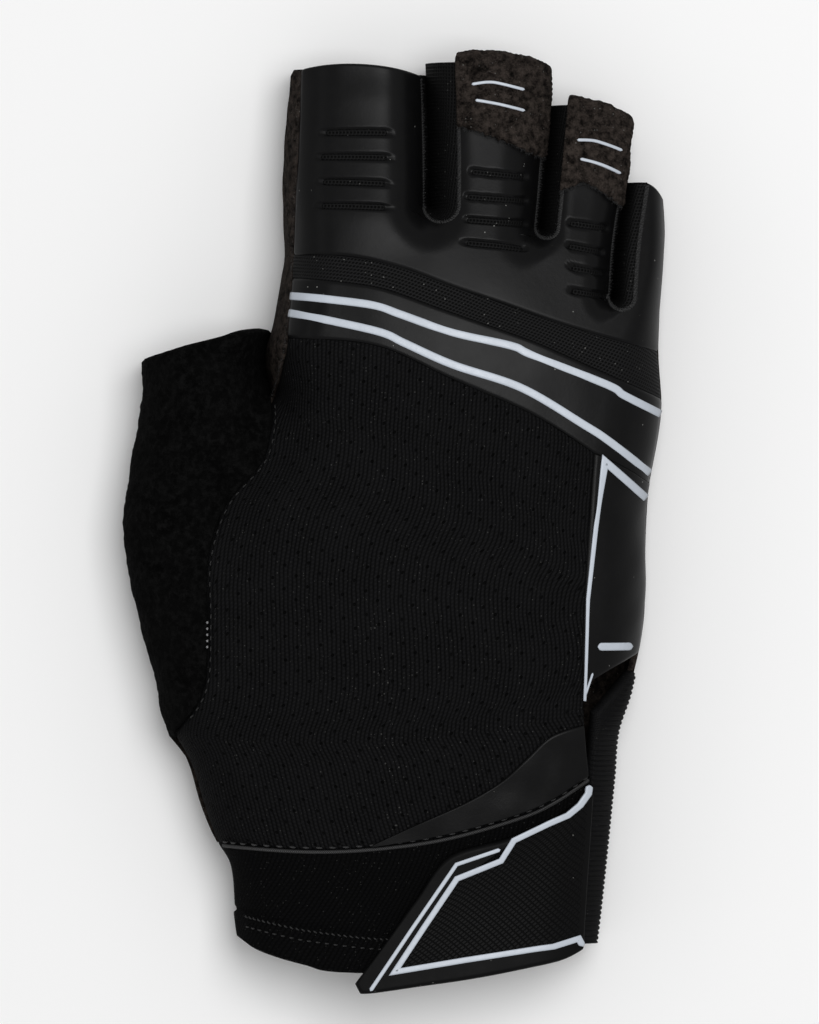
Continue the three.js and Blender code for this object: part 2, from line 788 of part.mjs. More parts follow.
function cuff() {
  const { rows, columns } = cuffFacets;
  const left = sample(side(thumbSideX, wristStart, cuffTop), rows);
  const half = (upper, lower, end) => {
    lower[0].copy(left[0]);
    upper[0].copy(left.at(-1));
    const right = sample(part(curves.bindingEdge, 0, bindingShare(end)), rows);
    return drawIn(fill({ lower, upper, left, right }), ['right', 'upper']);
  };
  const seamEnd = seams.cuffSeam.at(-1).along;
  const seamRun = sample(curves.cuffSeam, columns, 'start');
  const backHalf = half(seamRun, sample(curves.hem, columns, 'start'), seamEnd);
  const hemRuns = palmFan.map((run) => (
    sample(part(curves.hem, run.start, run.end), run.columns, 'both')
  ));
  const upper = chain(...heelRuns).map((at) => at.clone());
  const palmHalf = half(upper, chain(...hemRuns), palmHeel);
  return wall([lay(backHalf, true), lay(palmHalf, false)], 0, -cuffWall);
}

// Elastic folded over the edge of the wrist opening, on the little-finger side
function edgeBinding() {
  const { rows, columns } = binding;
  const inner = sample(part(curves.bindingEdge, 0, bindingShare(bindingTop.inner)), rows);
  const outer = sample(side(littleSideX, seams.bindingEdge[0].along, bindingTop.outer), rows);
  const grid = () => drawIn(fill({
    lower: sample(line(inner[0], outer[0]), columns, 'end'),
    upper: sample(line(inner.at(-1), outer.at(-1)), columns, 'end'),
    left: inner,
    right: outer,
  }), ['left']);
  return wall([lay(grid(), true), lay(grid(), false)], bindingRise, bindingRise - bindingWall);
}

// Moulded tab of the wrist closure, lying on the cuff
function strapTab() {
  const lower = seam('tabBottom');
  const upper = seam('tabTop');
  const grid = fill({
    lower: sample(lower, tab.columns, 'end'),
    upper: sample(upper, tab.columns, 'end'),
    left: sample(line(lower(0), upper(0)), tab.rows),
    right: sample(line(lower(1), upper(1)), tab.rows),
  });
  return wall([lay(grid, true)], liftGap + strapTabWall, liftGap);
}

// Suede tab sewn on a finger's back, folded over the open edge and tucked back inside it
function pullTab(finger, before, after) {
  const tip = tips[finger];
  const { rows, columns, turns } = pull;
  const across = (along, share) => {
    const y = along * gloveLength;
    const from = slotAt(before, y).centre + slotAt(before, y).half + before.show.right;
    const to = slotAt(after, y).centre - slotAt(after, y).half - after.show.left;
    return place(lerp(from, to, share), y);
  };
  const radius = (overlayWall + pullTabWall) / 2 + liftGap;
  const column = (share) => {
    const foot = lerp(pullTabFoot[finger].left, pullTabFoot[finger].right, share);
    const end = lerp(tip.left, tip.right, share) + 4 * tip.bow * share * (1 - share);
    const spot = (along, offset, forward) => {
      const { point, normal } = surface(across(along, share), true, seamGap);
      point.addScaledVector(normal, offset - overlayWall / 2);
      point.y += forward;
      return point;
    };
    const tuck = end - pullTabReturn / gloveLength;
    return [
      ...Array.from({ length: rows }, (_, k) => spot(lerp(foot, end, k / rows), radius, 0)),
      ...Array.from({ length: turns + 1 }, (_, k) => {
        const angle = k / turns * Math.PI;
        return spot(end, radius * Math.cos(angle), radius * Math.sin(angle));
      }),
      spot(tuck, -radius, 0),
    ];
  };
  const sides = Array.from({ length: columns + 1 }, (_, i) => column(spacing.both(i / columns)));
  const points = sides[0].map((_, k) => sides.map((run) => run[k]));
  return wall([withNormals(points)], pullTabWall / 2, -pullTabWall / 2);
}

// What each piece is made of: a colour, how rough it is, and how much like metal
const suede = { color: 0x2e2723, roughness: 0.95, metalness: 0 };
const overlay = { color: 0x1c1c1e, roughness: 0.45, metalness: 0 };
const knit = { color: 0x121214, roughness: 0.85, metalness: 0 };
const nap = { color: 0x101011, roughness: 1, metalness: 0 };
const elastic = { color: 0x161618, roughness: 0.8, metalness: 0 };
const moulded = { color: 0x19191b, roughness: 0.5, metalness: 0 };

const pieces = {
  palm_panel: [palmPanel, suede],
  knuckle_panel: [knucklePanel, overlay],
  mesh_strip: [meshStrip, knit],
  stripe_band: [stripeBand, overlay],
  back_panel: [backPanel, knit],
  side_panel: [sidePanel, overlay],
  wrist_patch: [wristPatch, overlay],
  thumb_sleeve: [thumbSleeve, nap],
  index_middle_sidewall: [() => sidewall(0), knit],
  middle_ring_sidewall: [() => sidewall(1), knit],
  ring_little_sidewall: [() => sidewall(2), knit],
  middle_pull_tab: [() => pullTab('middle', slots.indexMiddle, slots.middleRing), suede],
  ring_pull_tab: [() => pullTab('ring', slots.middleRing, slots.ringLittle), suede],
  cuff: [cuff, knit],
  edge_binding: [edgeBinding, elastic],
  strap_tab: [strapTab, moulded],
};

const group = new THREE.Group();
Object.entries(pieces).forEach(([name, [make, finish]]) => {
  const mesh = new THREE.Mesh(make(), new THREE.MeshStandardMaterial(finish));
  mesh.name = name;
  group.add(mesh);
});

// The origin is at the middle of the bottom of the box round the glove
const box = new THREE.Box3().setFromObject(group, true);
group.position.set(-(box.min.x + box.max.x) / 2, -(box.min.y + box.max.y) / 2, -box.min.z);
group.updateMatrixWorld(true);

export default group;
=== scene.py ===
"""Half-finger weightlifting glove: panels, trims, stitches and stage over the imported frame."""

import json
import math

import bpy
import numpy as np
from bpy.props import FloatProperty, FloatVectorProperty, PointerProperty
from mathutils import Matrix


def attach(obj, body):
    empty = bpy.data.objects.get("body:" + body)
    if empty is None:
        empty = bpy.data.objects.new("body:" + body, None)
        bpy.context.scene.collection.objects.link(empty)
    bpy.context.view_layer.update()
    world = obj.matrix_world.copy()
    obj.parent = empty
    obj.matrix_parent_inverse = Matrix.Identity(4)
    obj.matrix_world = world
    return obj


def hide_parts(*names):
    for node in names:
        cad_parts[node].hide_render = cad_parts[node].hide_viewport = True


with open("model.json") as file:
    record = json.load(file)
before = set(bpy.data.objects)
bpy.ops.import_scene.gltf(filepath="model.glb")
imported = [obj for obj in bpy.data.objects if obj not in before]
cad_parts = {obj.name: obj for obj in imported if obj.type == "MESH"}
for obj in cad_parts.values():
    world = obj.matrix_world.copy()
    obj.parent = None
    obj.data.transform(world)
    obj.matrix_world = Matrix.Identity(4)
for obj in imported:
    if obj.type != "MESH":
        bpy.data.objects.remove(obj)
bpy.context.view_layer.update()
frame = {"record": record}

bl_info = {
    "name": "Half-finger weightlifting glove",
    "version": (1, 0, 0),
    "blender": (4, 5, 0),
    "location": "View3D > Sidebar > Glove",
    "description": "Builds the panels, trims and stitches of a half-finger training glove",
    "category": "Add Mesh",
}

MM = 0.001

# Sizes of the glove's form in millimetres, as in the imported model
ORIGIN = np.array([-23.8937, -98.717, 0.0])
GLOVE_LENGTH = 202.0
PALM_WIDTH = 83.4
THUMB_REACH = 35.6
SEAM_HEIGHT = 12.0
BACK_HEIGHT = 36.0
CUFF_HEIGHT = 28.0
TIP_HEIGHT = 25.0
HAND_ROUND = 14.0
THUMB_ROUND = 12.0
WIDE_FINGER_ROUND = 11.0
RING_FINGER_ROUND = 6.8
LITTLE_FINGER_ROUND = 3.8
PALM_ROUND_SHARE = 0.7
SIDE_FULLNESS = 2.5
ARCH_FALL = 11.0
ARCH_CREST = 0.3
THUMB_VALLEY_DEPTH = 6.0
THUMB_VALLEY_WIDTH = 9.0
SLOPE_STEP = 0.05
STITCH_STEP = 0.2
ARC_SHARE = 0.21
CROTCH_START = 0.05

# Where rises and falls start and end, as shares of the glove's length
BACK_RISE = (0.05, 0.42)
FINGER_FALL = (0.64, 1.0)
VALLEY_RISE = (0.36, 0.6)
VALLEY_FALL = (0.63, 0.7)
LITTLE_NARROWING = (0.58, 0.78)

# Outer sides: share of the length, and of the thumb's reach or the palm's width
THUMB_SIDE = np.array([
    (-0.03, 0.26), (0.06, 0.3), (0.115, 0.345), (0.146, 0.44), (0.182, 0.52), (0.232, 0.61),
    (0.261, 0.73), (0.317, 0.8), (0.38, 0.9), (0.447, 0.98), (0.495, 1.0), (0.56, 0.94),
    (0.626, 0.88), (0.68, 0.895),
])
LITTLE_SIDE = np.array([
    (-0.03, 0.8), (0.073, 0.831), (0.209, 0.865), (0.26, 0.876), (0.304, 0.91), (0.389, 0.948),
    (0.508, 0.955), (0.612, 0.993), (0.687, 0.985), (0.795, 1.0), (0.86, 0.995),
])

# Slots between neighbours: rounds of both sides, sidewall seen on both sides, and rows of
# share of the length, centre and gap as shares of the palm's width
SLOTS = {
    "thumb_index": {
        "round": (THUMB_ROUND, THUMB_ROUND), "show": (0.0, 0.0),
        "rows": np.array([
            (0.628, -0.038, 0.008), (0.668, -0.057, 0.008), (0.7, -0.038, 0.01),
            (0.74, -0.026, 0.024), (0.779, -0.016, 0.03), (0.864, -0.02, 0.03), (0.98, 0.0, 0.03),
        ]),
    },
    "index_middle": {
        "round": (WIDE_FINGER_ROUND, WIDE_FINGER_ROUND), "show": (0.8, 6.4),
        "rows": np.array([(0.832, 0.378, 0.008), (0.9, 0.378, 0.008), (0.99, 0.37, 0.01)]),
    },
    "middle_ring": {
        "round": (WIDE_FINGER_ROUND, RING_FINGER_ROUND), "show": (0.8, 3.7),
        "rows": np.array([(0.808, 0.672, 0.008), (0.857, 0.684, 0.008), (0.949, 0.702, 0.008)]),
    },
    "ring_little": {
        "round": (RING_FINGER_ROUND, LITTLE_FINGER_ROUND), "show": (0.7, 4.4),
        "rows": np.array([
            (0.732, 0.864, 0.008), (0.788, 0.875, 0.008), (0.857, 0.899, 0.008),
            (0.92, 0.917, 0.01),
        ]),
    },
}
PALM_SHOW = (1.5, 1.5)

# Open edges: where each ends at its left and right side, and its bow
TIPS = {
    "thumb": (0.665, 0.697, 0.004),
    "index": (0.98, 0.974, 0.008),
    "middle": (0.987, 0.976, 0.006),
    "ring": (0.941, 0.921, 0.004),
    "little": (0.857, 0.842, 0.003),
}
FINGERS = ("index", "middle", "ring", "little")
FINGER_SLOTS = ("index_middle", "middle_ring", "ring_little")

# Seam lines as shares of the palm's width and the glove's length, and where an end lies on
# the little-finger side instead, its share of the length
SEAMS = {
    "wrap_edge": [
        (-0.036, 0.62), (-0.012, 0.655), (0.005, 0.687), (0.018, 0.753), (0.021, 0.778),
        (0.032, 0.88), (0.042, 0.98),
    ],
    "strip_top": [
        (0.021, 0.778), (0.166, 0.776), (0.306, 0.764), (0.443, 0.743), (0.58, 0.724),
        (0.72, 0.704), (0.858, 0.687), (None, 0.674),
    ],
    "strip_bottom": [
        (0.018, 0.753), (0.166, 0.747), (0.272, 0.739), (0.401, 0.72), (0.512, 0.704),
        (0.649, 0.684), (0.789, 0.659), (None, 0.622),
    ],
    "band_bottom": [
        (0.005, 0.687), (0.237, 0.679), (0.443, 0.642), (0.649, 0.605), (0.815, 0.562),
    ],
    "side_top": [(0.815, 0.562), (0.89, 0.548), (None, 0.53)],
    "thumb_seam": [
        (-0.3, 0.258), (-0.24, 0.285), (-0.208, 0.32), (-0.203, 0.385), (-0.203, 0.447),
        (-0.158, 0.505), (-0.063, 0.552), (-0.036, 0.59), (-0.036, 0.62),
    ],
    "side_border": [
        (0.805, 0.212), (0.79, 0.27), (0.785, 0.33), (0.788, 0.4), (0.799, 0.468), (0.815, 0.562),
    ],
    "binding_edge": [
        (0.772, 0.03), (0.79, 0.125), (0.805, 0.212), (0.815, 0.26), (0.822, 0.3),
    ],
    "cuff_seam": [
        (-0.175, 0.139), (0.058, 0.133), (0.24, 0.136), (0.427, 0.147), (0.617, 0.169),
        (0.71, 0.186), (0.805, 0.212),
    ],
    "hem": [
        (-0.12, 0.035), (-0.066, 0.022), (0.05, 0.008), (0.145, 0.0), (0.435, 0.0),
        (0.673, 0.016), (0.772, 0.03),
    ],
    "patch_top": [
        (0.23, 0.138), (0.356, 0.162), (0.475, 0.184), (0.57, 0.207), (0.636, 0.232),
        (0.7, 0.256), (0.785, 0.268),
    ],
    "patch_bottom": [
        (0.23, 0.136), (0.427, 0.15), (0.617, 0.172), (0.71, 0.189), (0.796, 0.213),
    ],
    "tab_top": [
        (0.187, -0.012), (0.264, 0.031), (0.348, 0.081), (0.433, 0.127), (0.586, 0.147),
        (0.72, 0.172), (0.795, 0.196),
    ],
    "tab_bottom": [
        (0.201, -0.023), (0.24, -0.022), (0.356, -0.015), (0.475, -0.008), (0.594, 0.001),
        (0.71, 0.012), (0.768, 0.024),
    ],
}
WRIST_START = 0.035
CUFF_TOP = 0.139
PALM_HEEL = 0.17
THUMB_FOOT = 0.256
THUMB_ROOT = 0.262
THUMB_SEAM_START = 0.03
BINDING_TOP = (0.28, 0.325)
SIDE_PANEL_END = (0.31, 0.345)
PALM_SIDE_START = 0.284
SIDE_OVERLAP = 0.03
THUMB_OVERLAP = 0.012

# Where the palm's heel is cut into finger columns, and how many columns each has
PALM_FAN = ((0.0, 0.5, 7), (0.5, 0.75, 5), (0.75, 0.9, 4), (0.9, 1.0, 5))

# Grip slots on each finger's back, as the same shares: left end, then right end
GRIP_SLOTS = {
    "index": [
        (0.111, 0.9096, 0.269, 0.9096), (0.098, 0.8834, 0.269, 0.8824),
        (0.103, 0.8562, 0.264, 0.854), (0.1, 0.8301, 0.264, 0.8279),
    ],
    "middle": [
        (0.493, 0.8682, 0.633, 0.8627), (0.48, 0.841, 0.633, 0.8366),
        (0.48, 0.8159, 0.631, 0.8115), (0.48, 0.7908, 0.628, 0.7854),
    ],
    "ring": [
        (0.752, 0.8126, 0.847, 0.8072), (0.749, 0.7876, 0.834, 0.781),
        (0.757, 0.7636, 0.844, 0.7571), (0.757, 0.7386, 0.842, 0.7331),
    ],
}

# Light lines and the hem's fold, as the same shares
LINES = {
    "upper_stripe": [
        (0.016, 0.7331), (0.119, 0.7288), (0.237, 0.7222), (0.306, 0.7124), (0.443, 0.6928),
        (0.596, 0.6786), (0.649, 0.6688), (0.85, 0.6362), (0.892, 0.6253), (0.99, 0.6057),
    ],
    "lower_stripe": [
        (0.012, 0.7146), (0.132, 0.7048), (0.256, 0.6928), (0.319, 0.6808), (0.443, 0.658),
        (0.623, 0.6329), (0.789, 0.5926), (0.85, 0.5763), (0.962, 0.5414),
    ],
    "side_outline": [
        (0.952, 0.5142), (0.842, 0.5534), (0.818, 0.4826), (0.797, 0.4041), (0.792, 0.3268),
        (0.789, 0.2941),
    ],
    "side_return": [(0.79, 0.3), (0.81, 0.3246)],
    "side_dash": [(0.823, 0.3529), (0.916, 0.3529)],
    "tab_rim_line": [(0.227, -0.0196), (0.449, 0.1187), (0.562, 0.135)],
    "tab_line": [
        (0.782, 0.2048), (0.779, 0.1955), (0.76, 0.183), (0.732, 0.1721), (0.597, 0.1448),
        (0.564, 0.1225), (0.45, 0.1029), (0.29, 0.0011), (0.472, 0.0138), (0.695, 0.0281),
        (0.753, 0.0368), (0.762, 0.0285),
    ],
    "middle_tab_upper": [(0.491, 0.9619), (0.546, 0.9641), (0.621, 0.9563)],
    "middle_tab_lower": [(0.5, 0.9444), (0.56, 0.94), (0.621, 0.9335)],
    "ring_tab_upper": [(0.766, 0.901), (0.813, 0.8999), (0.873, 0.8911)],
    "ring_tab_lower": [(0.772, 0.8803), (0.822, 0.8748), (0.868, 0.8661)],
    "hem_fold": [
        (-0.13, 0.0643), (-0.003, 0.0512), (0.082, 0.0447), (0.25, 0.037), (0.4, 0.038),
        (0.55, 0.045), (0.77, 0.062),
    ],
}

# Lower edges of the two suede tabs
TAB_FEET = {
    "middle": [(0.0, 0.916), (0.55, 0.901), (1.0, 0.884)],
    "ring": [(0.0, 0.847), (0.25, 0.855), (0.6, 0.845), (1.0, 0.831)],
}

# How pieces stand on the shared surface and on each other, in millimetres
SEAM_LIFT = 0.35
OVERLAY_WALL = 1.2
BINDING_STAND = 0.6
PULL_WALL = 1.4
PULL_GAP = 0.4
PULL_RETURN = 6.0
STRAP_FOOT = 0.4
STRAP_TOP = STRAP_FOOT + 2.4
FLOOR_NEAR = 1.2

# Outside and inside of each wall along the normals of the shared surface, in millimetres
LEATHER_FACES = (0.0, -1.5)
OVERLAY_FACES = (0.0, -OVERLAY_WALL)
NET_FACES = (-0.3, -1.3)
SLOT_NET_FACES = (-0.5, -0.7)
GUSSET_FACES = (0.0, -1.0)
KNIT_FACES = (-0.18, -1.6)
CRESCENT_FACES = (0.55, -0.15)
NAP_FACES = (0.0, -1.8)
CUFF_FACES = (-0.1, -2.0)
BINDING_FACES = (BINDING_STAND, -2.0)
PULL_FACES = (PULL_WALL / 2 - 0.1, -PULL_WALL / 2)
STRAP_FACES = (STRAP_TOP, STRAP_FOOT)
GRAIN_FACES = (STRAP_TOP + 0.06, STRAP_TOP - 0.3)
FILM_FACES = (0.16, -0.2)

# Swellings and hollows on the panels: height and width in millimetres, the fold's in the back
# knit as a share of the palm's width, with its place, its lean and where it starts and ends
BACK_CORNER = (-0.9, 3.5)
BACK_FOLD = (0.5, 0.02)
BACK_FOLD_PLACE = (0.293, 0.185)
BACK_FOLD_LEAN = 0.22
BACK_FOLD_RISE = (0.14, 0.2)
BACK_FOLD_FALL = (0.4, 0.5)
THUMB_SIDE_SWELL = (0.9, 2.5)
THUMB_SWELL_RISE = (0.6, 0.64)
GUSSET_SWELL = (0.4, 3.0)
GUSSET_RAILS = 21
GUSSET_INSET = 0.1
HEM_SWELL = 0.4
HEM_STEP = (-0.2, 0.5)
HEM_GROOVE = (-0.45, 0.45)
HEM_GROOVE_PLACE = 0.6
RIB_DEPTH = 0.5
RIBBON_EDGE = 0.12
MITRE_LEAST = 0.35

# Ragged feet of the suede tabs, the part of a finger slot's edge that a tab hides, and points
# left out at its open end
TAB_JAG = 0.0011
TABBED = ("middle", "ring")
TABBED_SHARE = 0.3
OPEN_SKIP = 4

# The index finger's rounder back: its height, and its reach as shares of width and length
CROWN_HEIGHT = 1.3
CROWN_SIDES = (0.035, 0.362)
CROWN_RISE = (0.765, 0.82)
CROWN_FALL = (0.94, 0.985)
CROWN_LOSS = 0.6

# Depth of the grip slots, and where their leaning walls start and end
SLOT_DEPTH = 0.7
SLOT_LEAN = (-0.15, 0.2)

# Depth and width of the roll at a seam between two panels
SEAM_ROLL = (0.25, 0.35)

# How many loose fibres stand on the wrap's, a slot's and a tab's edge, and the wrap's part
# that has them
PALM_FIBRES = 700
FIBRE_SPAN = (0.03, 0.995)
SLOT_FIBRES = 260
TAB_FIBRES = 420

# Light lines: half width, outside and inside; the side outline's half width is narrowed twice,
# each time to a share between two lengths along it
LINE_FORMS = {
    "side_return": (0.22, *FILM_FACES),
    "side_dash": (0.85, *FILM_FACES),
    "tab_rim_line": (0.42, STRAP_TOP + 0.25, STRAP_TOP - 0.3),
    "tab_line": (0.62, STRAP_TOP + 0.3, STRAP_TOP - 0.3),
}
PULL_LINE = (0.32, PULL_GAP + PULL_WALL + 0.22, PULL_GAP + PULL_WALL - 0.5)
OUTLINE_HALVES = (0.85, 0.5)
OUTLINE_FIRST = (10, 22)
OUTLINE_LATER = (25, 65)
OUTLINE_LEFT = 0.6

# Cords and overlock: radius and flatness of a cord; pitch, length, thickness and height of the
# overlock's stitches, and their slant
OVERLOCK_RADIUS = 0.55
CUFF_CORD_RADIUS = 0.42
CORD_FLAT = 0.8
OVERLOCK = (0.62, 1.25, 0.36, 0.12)
OVERLOCK_SLANT = 1.15

# Rows of stitches: curve, span of it, step and shift of the path, then pitch, length, thickness
# and height, then the thread with its strength, and the slant
STITCHES = {
    "hem_upper_stitches": (
        "hem_fold", (0.05, 0.62), 0.3, (0, -0.2), (1.3, 1.25, 0.42, 0.45), "hem thread", 0.25, 0.5,
    ),
    "hem_lower_stitches": (
        "hem_fold", (0.05, 0.62), 0.3, (0, -2.4), (1.9, 1.3, 0.42, 0.42), "hem thread", 0.25, 0.0,
    ),
    "thumb_seam_stitches": (
        "thumb_seam", (0.08, 0.98), 0.3, (0.9, 0), (2.3, 1.5, 0.36, -0.12), "seam thread", 0.2,
        0.1,
    ),
    "thumb_seam_pale_stitches": (
        "thumb_seam", (0.31, 0.37), 0.2, (0.2, 0), (1.2, 0.75, 0.5, 0.1), "pale thread", 9.0, 0.1,
    ),
}

# The stage, in metres and watts
FLOOR_HALF = 6.0
FLOOR_DROP = 0.0004
WORLD_STRENGTH = 0.46
LIGHTS = {
    "overhead": ((0.3, 0.25, 1.5), (-0.16, 0.2, 0.0), (0.8, 0.9), 13.0),
    "left_strip": ((-1.0, 0.1, 0.75), (0.0, -0.93, 0.0), (0.35, 1.2), 0.6),
    "right_strip": ((1.0, 0.1, 0.75), (0.0, 0.93, 0.0), (0.35, 1.2), 0.3),
}
CAMERA_PLACE = (0.00352, 0.00206)
CAMERA_DISTANCE = 3.0
SENSOR_HEIGHT = 24.0
VIEW_HEIGHT = 0.2253

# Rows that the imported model's grids have, which the fine grids here divide further
SEAM_ROWS = 8
FINGER_ROWS = (8, 8, 9)
FOOT_ROWS = 2
BACK_FOOT_ROWS = 4
WRAP_ROWS = 13
WRAP_COLUMNS = 3
BACK_WRAP_ROWS = 3
INNER_ROWS = 4
OUTER_ROWS = 10
THUMB_ROWS = 5
THUMB_COLUMNS = 9
CUFF_ROWS = 5
CUFF_COLUMNS = 14
KNUCKLE_ROWS = 12
KNUCKLE_COLUMNS = (8, 7, 6, 5)


def mix(a, b, share):
    return a + (b - a) * share


def smooth(value, start, end):
    """Rises from 0 to 1 between start and end on a cubic with level ends."""
    t = np.clip((value - start) / (end - start), 0.0, 1.0)
    return t * t * (3.0 - 2.0 * t)


def row_value(rows, along, column=1):
    """A smooth value between a table's rows: a cubic with the mean slope of both neighbours."""
    at, value = rows[:, 0], rows[:, column]
    last = len(at) - 1
    before = np.maximum(np.arange(last + 1) - 1, 0)
    after = np.minimum(np.arange(last + 1) + 1, last)
    slope = (value[after] - value[before]) / (at[after] - at[before])
    x = np.clip(along, at[0], at[last])
    i = np.clip(np.searchsorted(at, x, side="right") - 1, 0, last - 1)
    span = at[i + 1] - at[i]
    t = (x - at[i]) / span
    rise = t * t * (3 - 2 * t)
    lead = t * (1 - t) ** 2 * span * slope[i]
    trail = t * t * (t - 1) * span * slope[i + 1]
    return mix(value[i], value[i + 1], rise) + lead + trail


def thumb_side_x(y):
    return -THUMB_REACH * row_value(THUMB_SIDE, y / GLOVE_LENGTH)


def little_side_x(y):
    return PALM_WIDTH * row_value(LITTLE_SIDE, y / GLOVE_LENGTH)


def slot_at(slot, y):
    """Centre and half gap of a slot at a height on the glove, in millimetres."""
    rows = SLOTS[slot]["rows"]
    along = y / GLOVE_LENGTH
    return PALM_WIDTH * row_value(rows, along), PALM_WIDTH * row_value(rows, along, 2) / 2


def rounded(distance, radius):
    """Squared share of the full height at a distance inside a side: one less a power of what
    is left to the radius."""
    return 1 - (1 - np.minimum(distance / radius, 1)) ** SIDE_FULLNESS


def side_distance(side_x, x, y):
    lean = (side_x(y + 1) - side_x(y - 1)) / 2
    return (x - side_x(y)) / np.hypot(1, lean)


def slot_rounded(slot, x, y, share):
    crotch = SLOTS[slot]["rows"][0, 0] * GLOVE_LENGTH
    centre, half = slot_at(slot, np.maximum(y, crotch))
    distance = np.hypot(x - centre, np.minimum(y - crotch, 0)) - half
    left, right = SLOTS[slot]["round"]
    radius = mix(left, right, smooth(x, centre - left / 2, centre + right / 2))
    return rounded(distance, radius * share)


def sides_rounded(x, y, share):
    """Product of how far the two outer sides and the four slots have rounded the surface off."""
    narrow = smooth(y / GLOVE_LENGTH, *LITTLE_NARROWING)
    little_round = mix(HAND_ROUND, LITTLE_FINGER_ROUND, narrow)
    product = rounded(side_distance(thumb_side_x, x, y), THUMB_ROUND * share)
    product = product * rounded(-side_distance(little_side_x, x, y), little_round * share)
    for slot in SLOTS:
        product = product * slot_rounded(slot, x, y, share)
    return product


def crown(x, y):
    """Height of the back away from its sides: a rise from the cuff, a fall to the fingertips,
    a parabola across the hand and a bell-shaped valley beside the thumb."""
    along = y / GLOVE_LENGTH
    hand = mix(CUFF_HEIGHT, BACK_HEIGHT, smooth(along, *BACK_RISE))
    spine = mix(hand, TIP_HEIGHT, smooth(along, *FINGER_FALL))
    fall = ARCH_FALL * ((x / PALM_WIDTH - ARCH_CREST) / (1 - ARCH_CREST)) ** 2
    points = np.array(SEAMS["thumb_seam"])[:, ::-1]
    valley_x = PALM_WIDTH * row_value(points, along)
    share = smooth(along, *VALLEY_RISE) * (1 - smooth(along, *VALLEY_FALL))
    valley = THUMB_VALLEY_DEPTH * share * bell(x - valley_x, THUMB_VALLEY_WIDTH)
    return spine - fall - valley


def surface(places, on_back, lift):
    """Points and outward normals over plan places: height is the seam's height plus or minus
    the crown's reach times the root of sides_rounded, and the normal is its gradient."""
    edge = SEAM_HEIGHT + lift
    share = 1.0 if on_back else PALM_ROUND_SHARE

    def squared(x, y):
        reach = crown(x, y) - edge if on_back else SEAM_HEIGHT
        return reach ** 2 * sides_rounded(x, y, share)

    x, y = places[..., 0], places[..., 1]
    height = np.sqrt(np.maximum(squared(x, y), 0))
    slope_x = (squared(x + SLOPE_STEP, y) - squared(x - SLOPE_STEP, y)) / (2 * SLOPE_STEP)
    slope_y = (squared(x, y + SLOPE_STEP) - squared(x, y - SLOPE_STEP)) / (2 * SLOPE_STEP)
    up = 1.0 if on_back else -1.0
    points = np.stack([x, y, edge + up * height], axis=-1)
    normals = unit(np.stack([-slope_x, -slope_y, 2 * up * height], axis=-1))
    return points, normals


def bell(distance, width):
    """Falls from 1 at no distance to nothing well past a width: a bell curve."""
    return np.exp(-((distance / width) ** 2))


def run_lengths(points):
    """Length run up to each point along a row of points."""
    steps = np.linalg.norm(np.diff(points, axis=0), axis=1)
    return np.concatenate([[0], np.cumsum(steps)])


def at_lengths(at, lengths, points):
    """Points at given lengths along a row of points."""
    return np.stack([np.interp(at, lengths, column) for column in points.T], axis=-1)


def glove_place(across, along):
    """A place in millimetres from shares of the palm's width and the glove's length."""
    return np.array([across * PALM_WIDTH, along * GLOVE_LENGTH])


def unit(vectors):
    return vectors / np.maximum(np.linalg.norm(vectors, axis=-1, keepdims=True), 1e-12)


# Curves on the plan: each takes an array of shares from 0 to 1 and gives places


def line(a, b):
    return lambda share: mix(np.asarray(a), np.asarray(b), np.asarray(share)[..., None])


def part(curve, start, end):
    return lambda share: curve(mix(start, end, np.asarray(share)))


def spline(points):
    """A curve through points: uniform cubic spans, each leaving with half the step between
    its neighbours."""
    points = np.asarray(points, dtype=float)
    last = len(points) - 1

    def place(share):
        at = np.clip(np.asarray(share, dtype=float), 0, 1) * last
        i = np.minimum(at.astype(int), last - 1)
        t = (at - i)[..., None]
        a, b = points[np.maximum(i - 1, 0)], points[i]
        c, d = points[i + 1], points[np.minimum(i + 2, last)]
        start, end = (c - a) / 2, (d - b) / 2
        cubic = (2 * b - 2 * c + start + end) * t ** 3
        return cubic + (-3 * b + 3 * c - 2 * start - end) * t ** 2 + start * t + b

    return place


def plan(shares):
    """Places in millimetres from shares of the palm's width and the glove's length."""
    return np.array([
        (little_side_x(along * GLOVE_LENGTH) if across is None else across * PALM_WIDTH,
         along * GLOVE_LENGTH)
        for across, along in shares
    ], dtype=float)


def seam(name):
    return spline(plan(SEAMS[name]))


def side(side_x, start, end):
    def place(share):
        y = mix(start, end, np.asarray(share)) * GLOVE_LENGTH
        return np.stack([side_x(y), y], axis=-1)
    return place


def slot_edge(slot, hand, tip, outset=(0.0, 0.0)):
    """One side of a slot from the bottom of its crotch: a quarter turn, then up to the tip."""
    way = -1 if hand == "left" else 1
    lean = (outset[1] - outset[0]) / 2
    crotch = SLOTS[slot]["rows"][0, 0] * GLOVE_LENGTH

    def place(share):
        share = np.asarray(share)
        turn = np.minimum(share / ARC_SHARE, 1)
        climb = np.maximum(share - ARC_SHARE, 0) / (1 - ARC_SHARE)
        y = mix(crotch, tip * GLOVE_LENGTH, climb)
        centre, half = slot_at(slot, y)
        radius = half + sum(outset) / 2
        angle = turn * math.pi / 2
        x = centre + lean + way * radius * np.sin(angle)
        return np.stack([x, y - radius * np.cos(angle)], axis=-1)

    return place


def tip_edge(start, end, bow):
    def place(share):
        places = line(start, end)(share)
        places[..., 1] += 4 * bow * GLOVE_LENGTH * share * (1 - share)
        return places
    return place


def share_at(curve, axis, value):
    """The share at which a curve that rises in one axis reaches a value there."""
    shares = np.linspace(0, 1, 4001)
    return float(np.interp(value, curve(shares)[:, axis], shares))


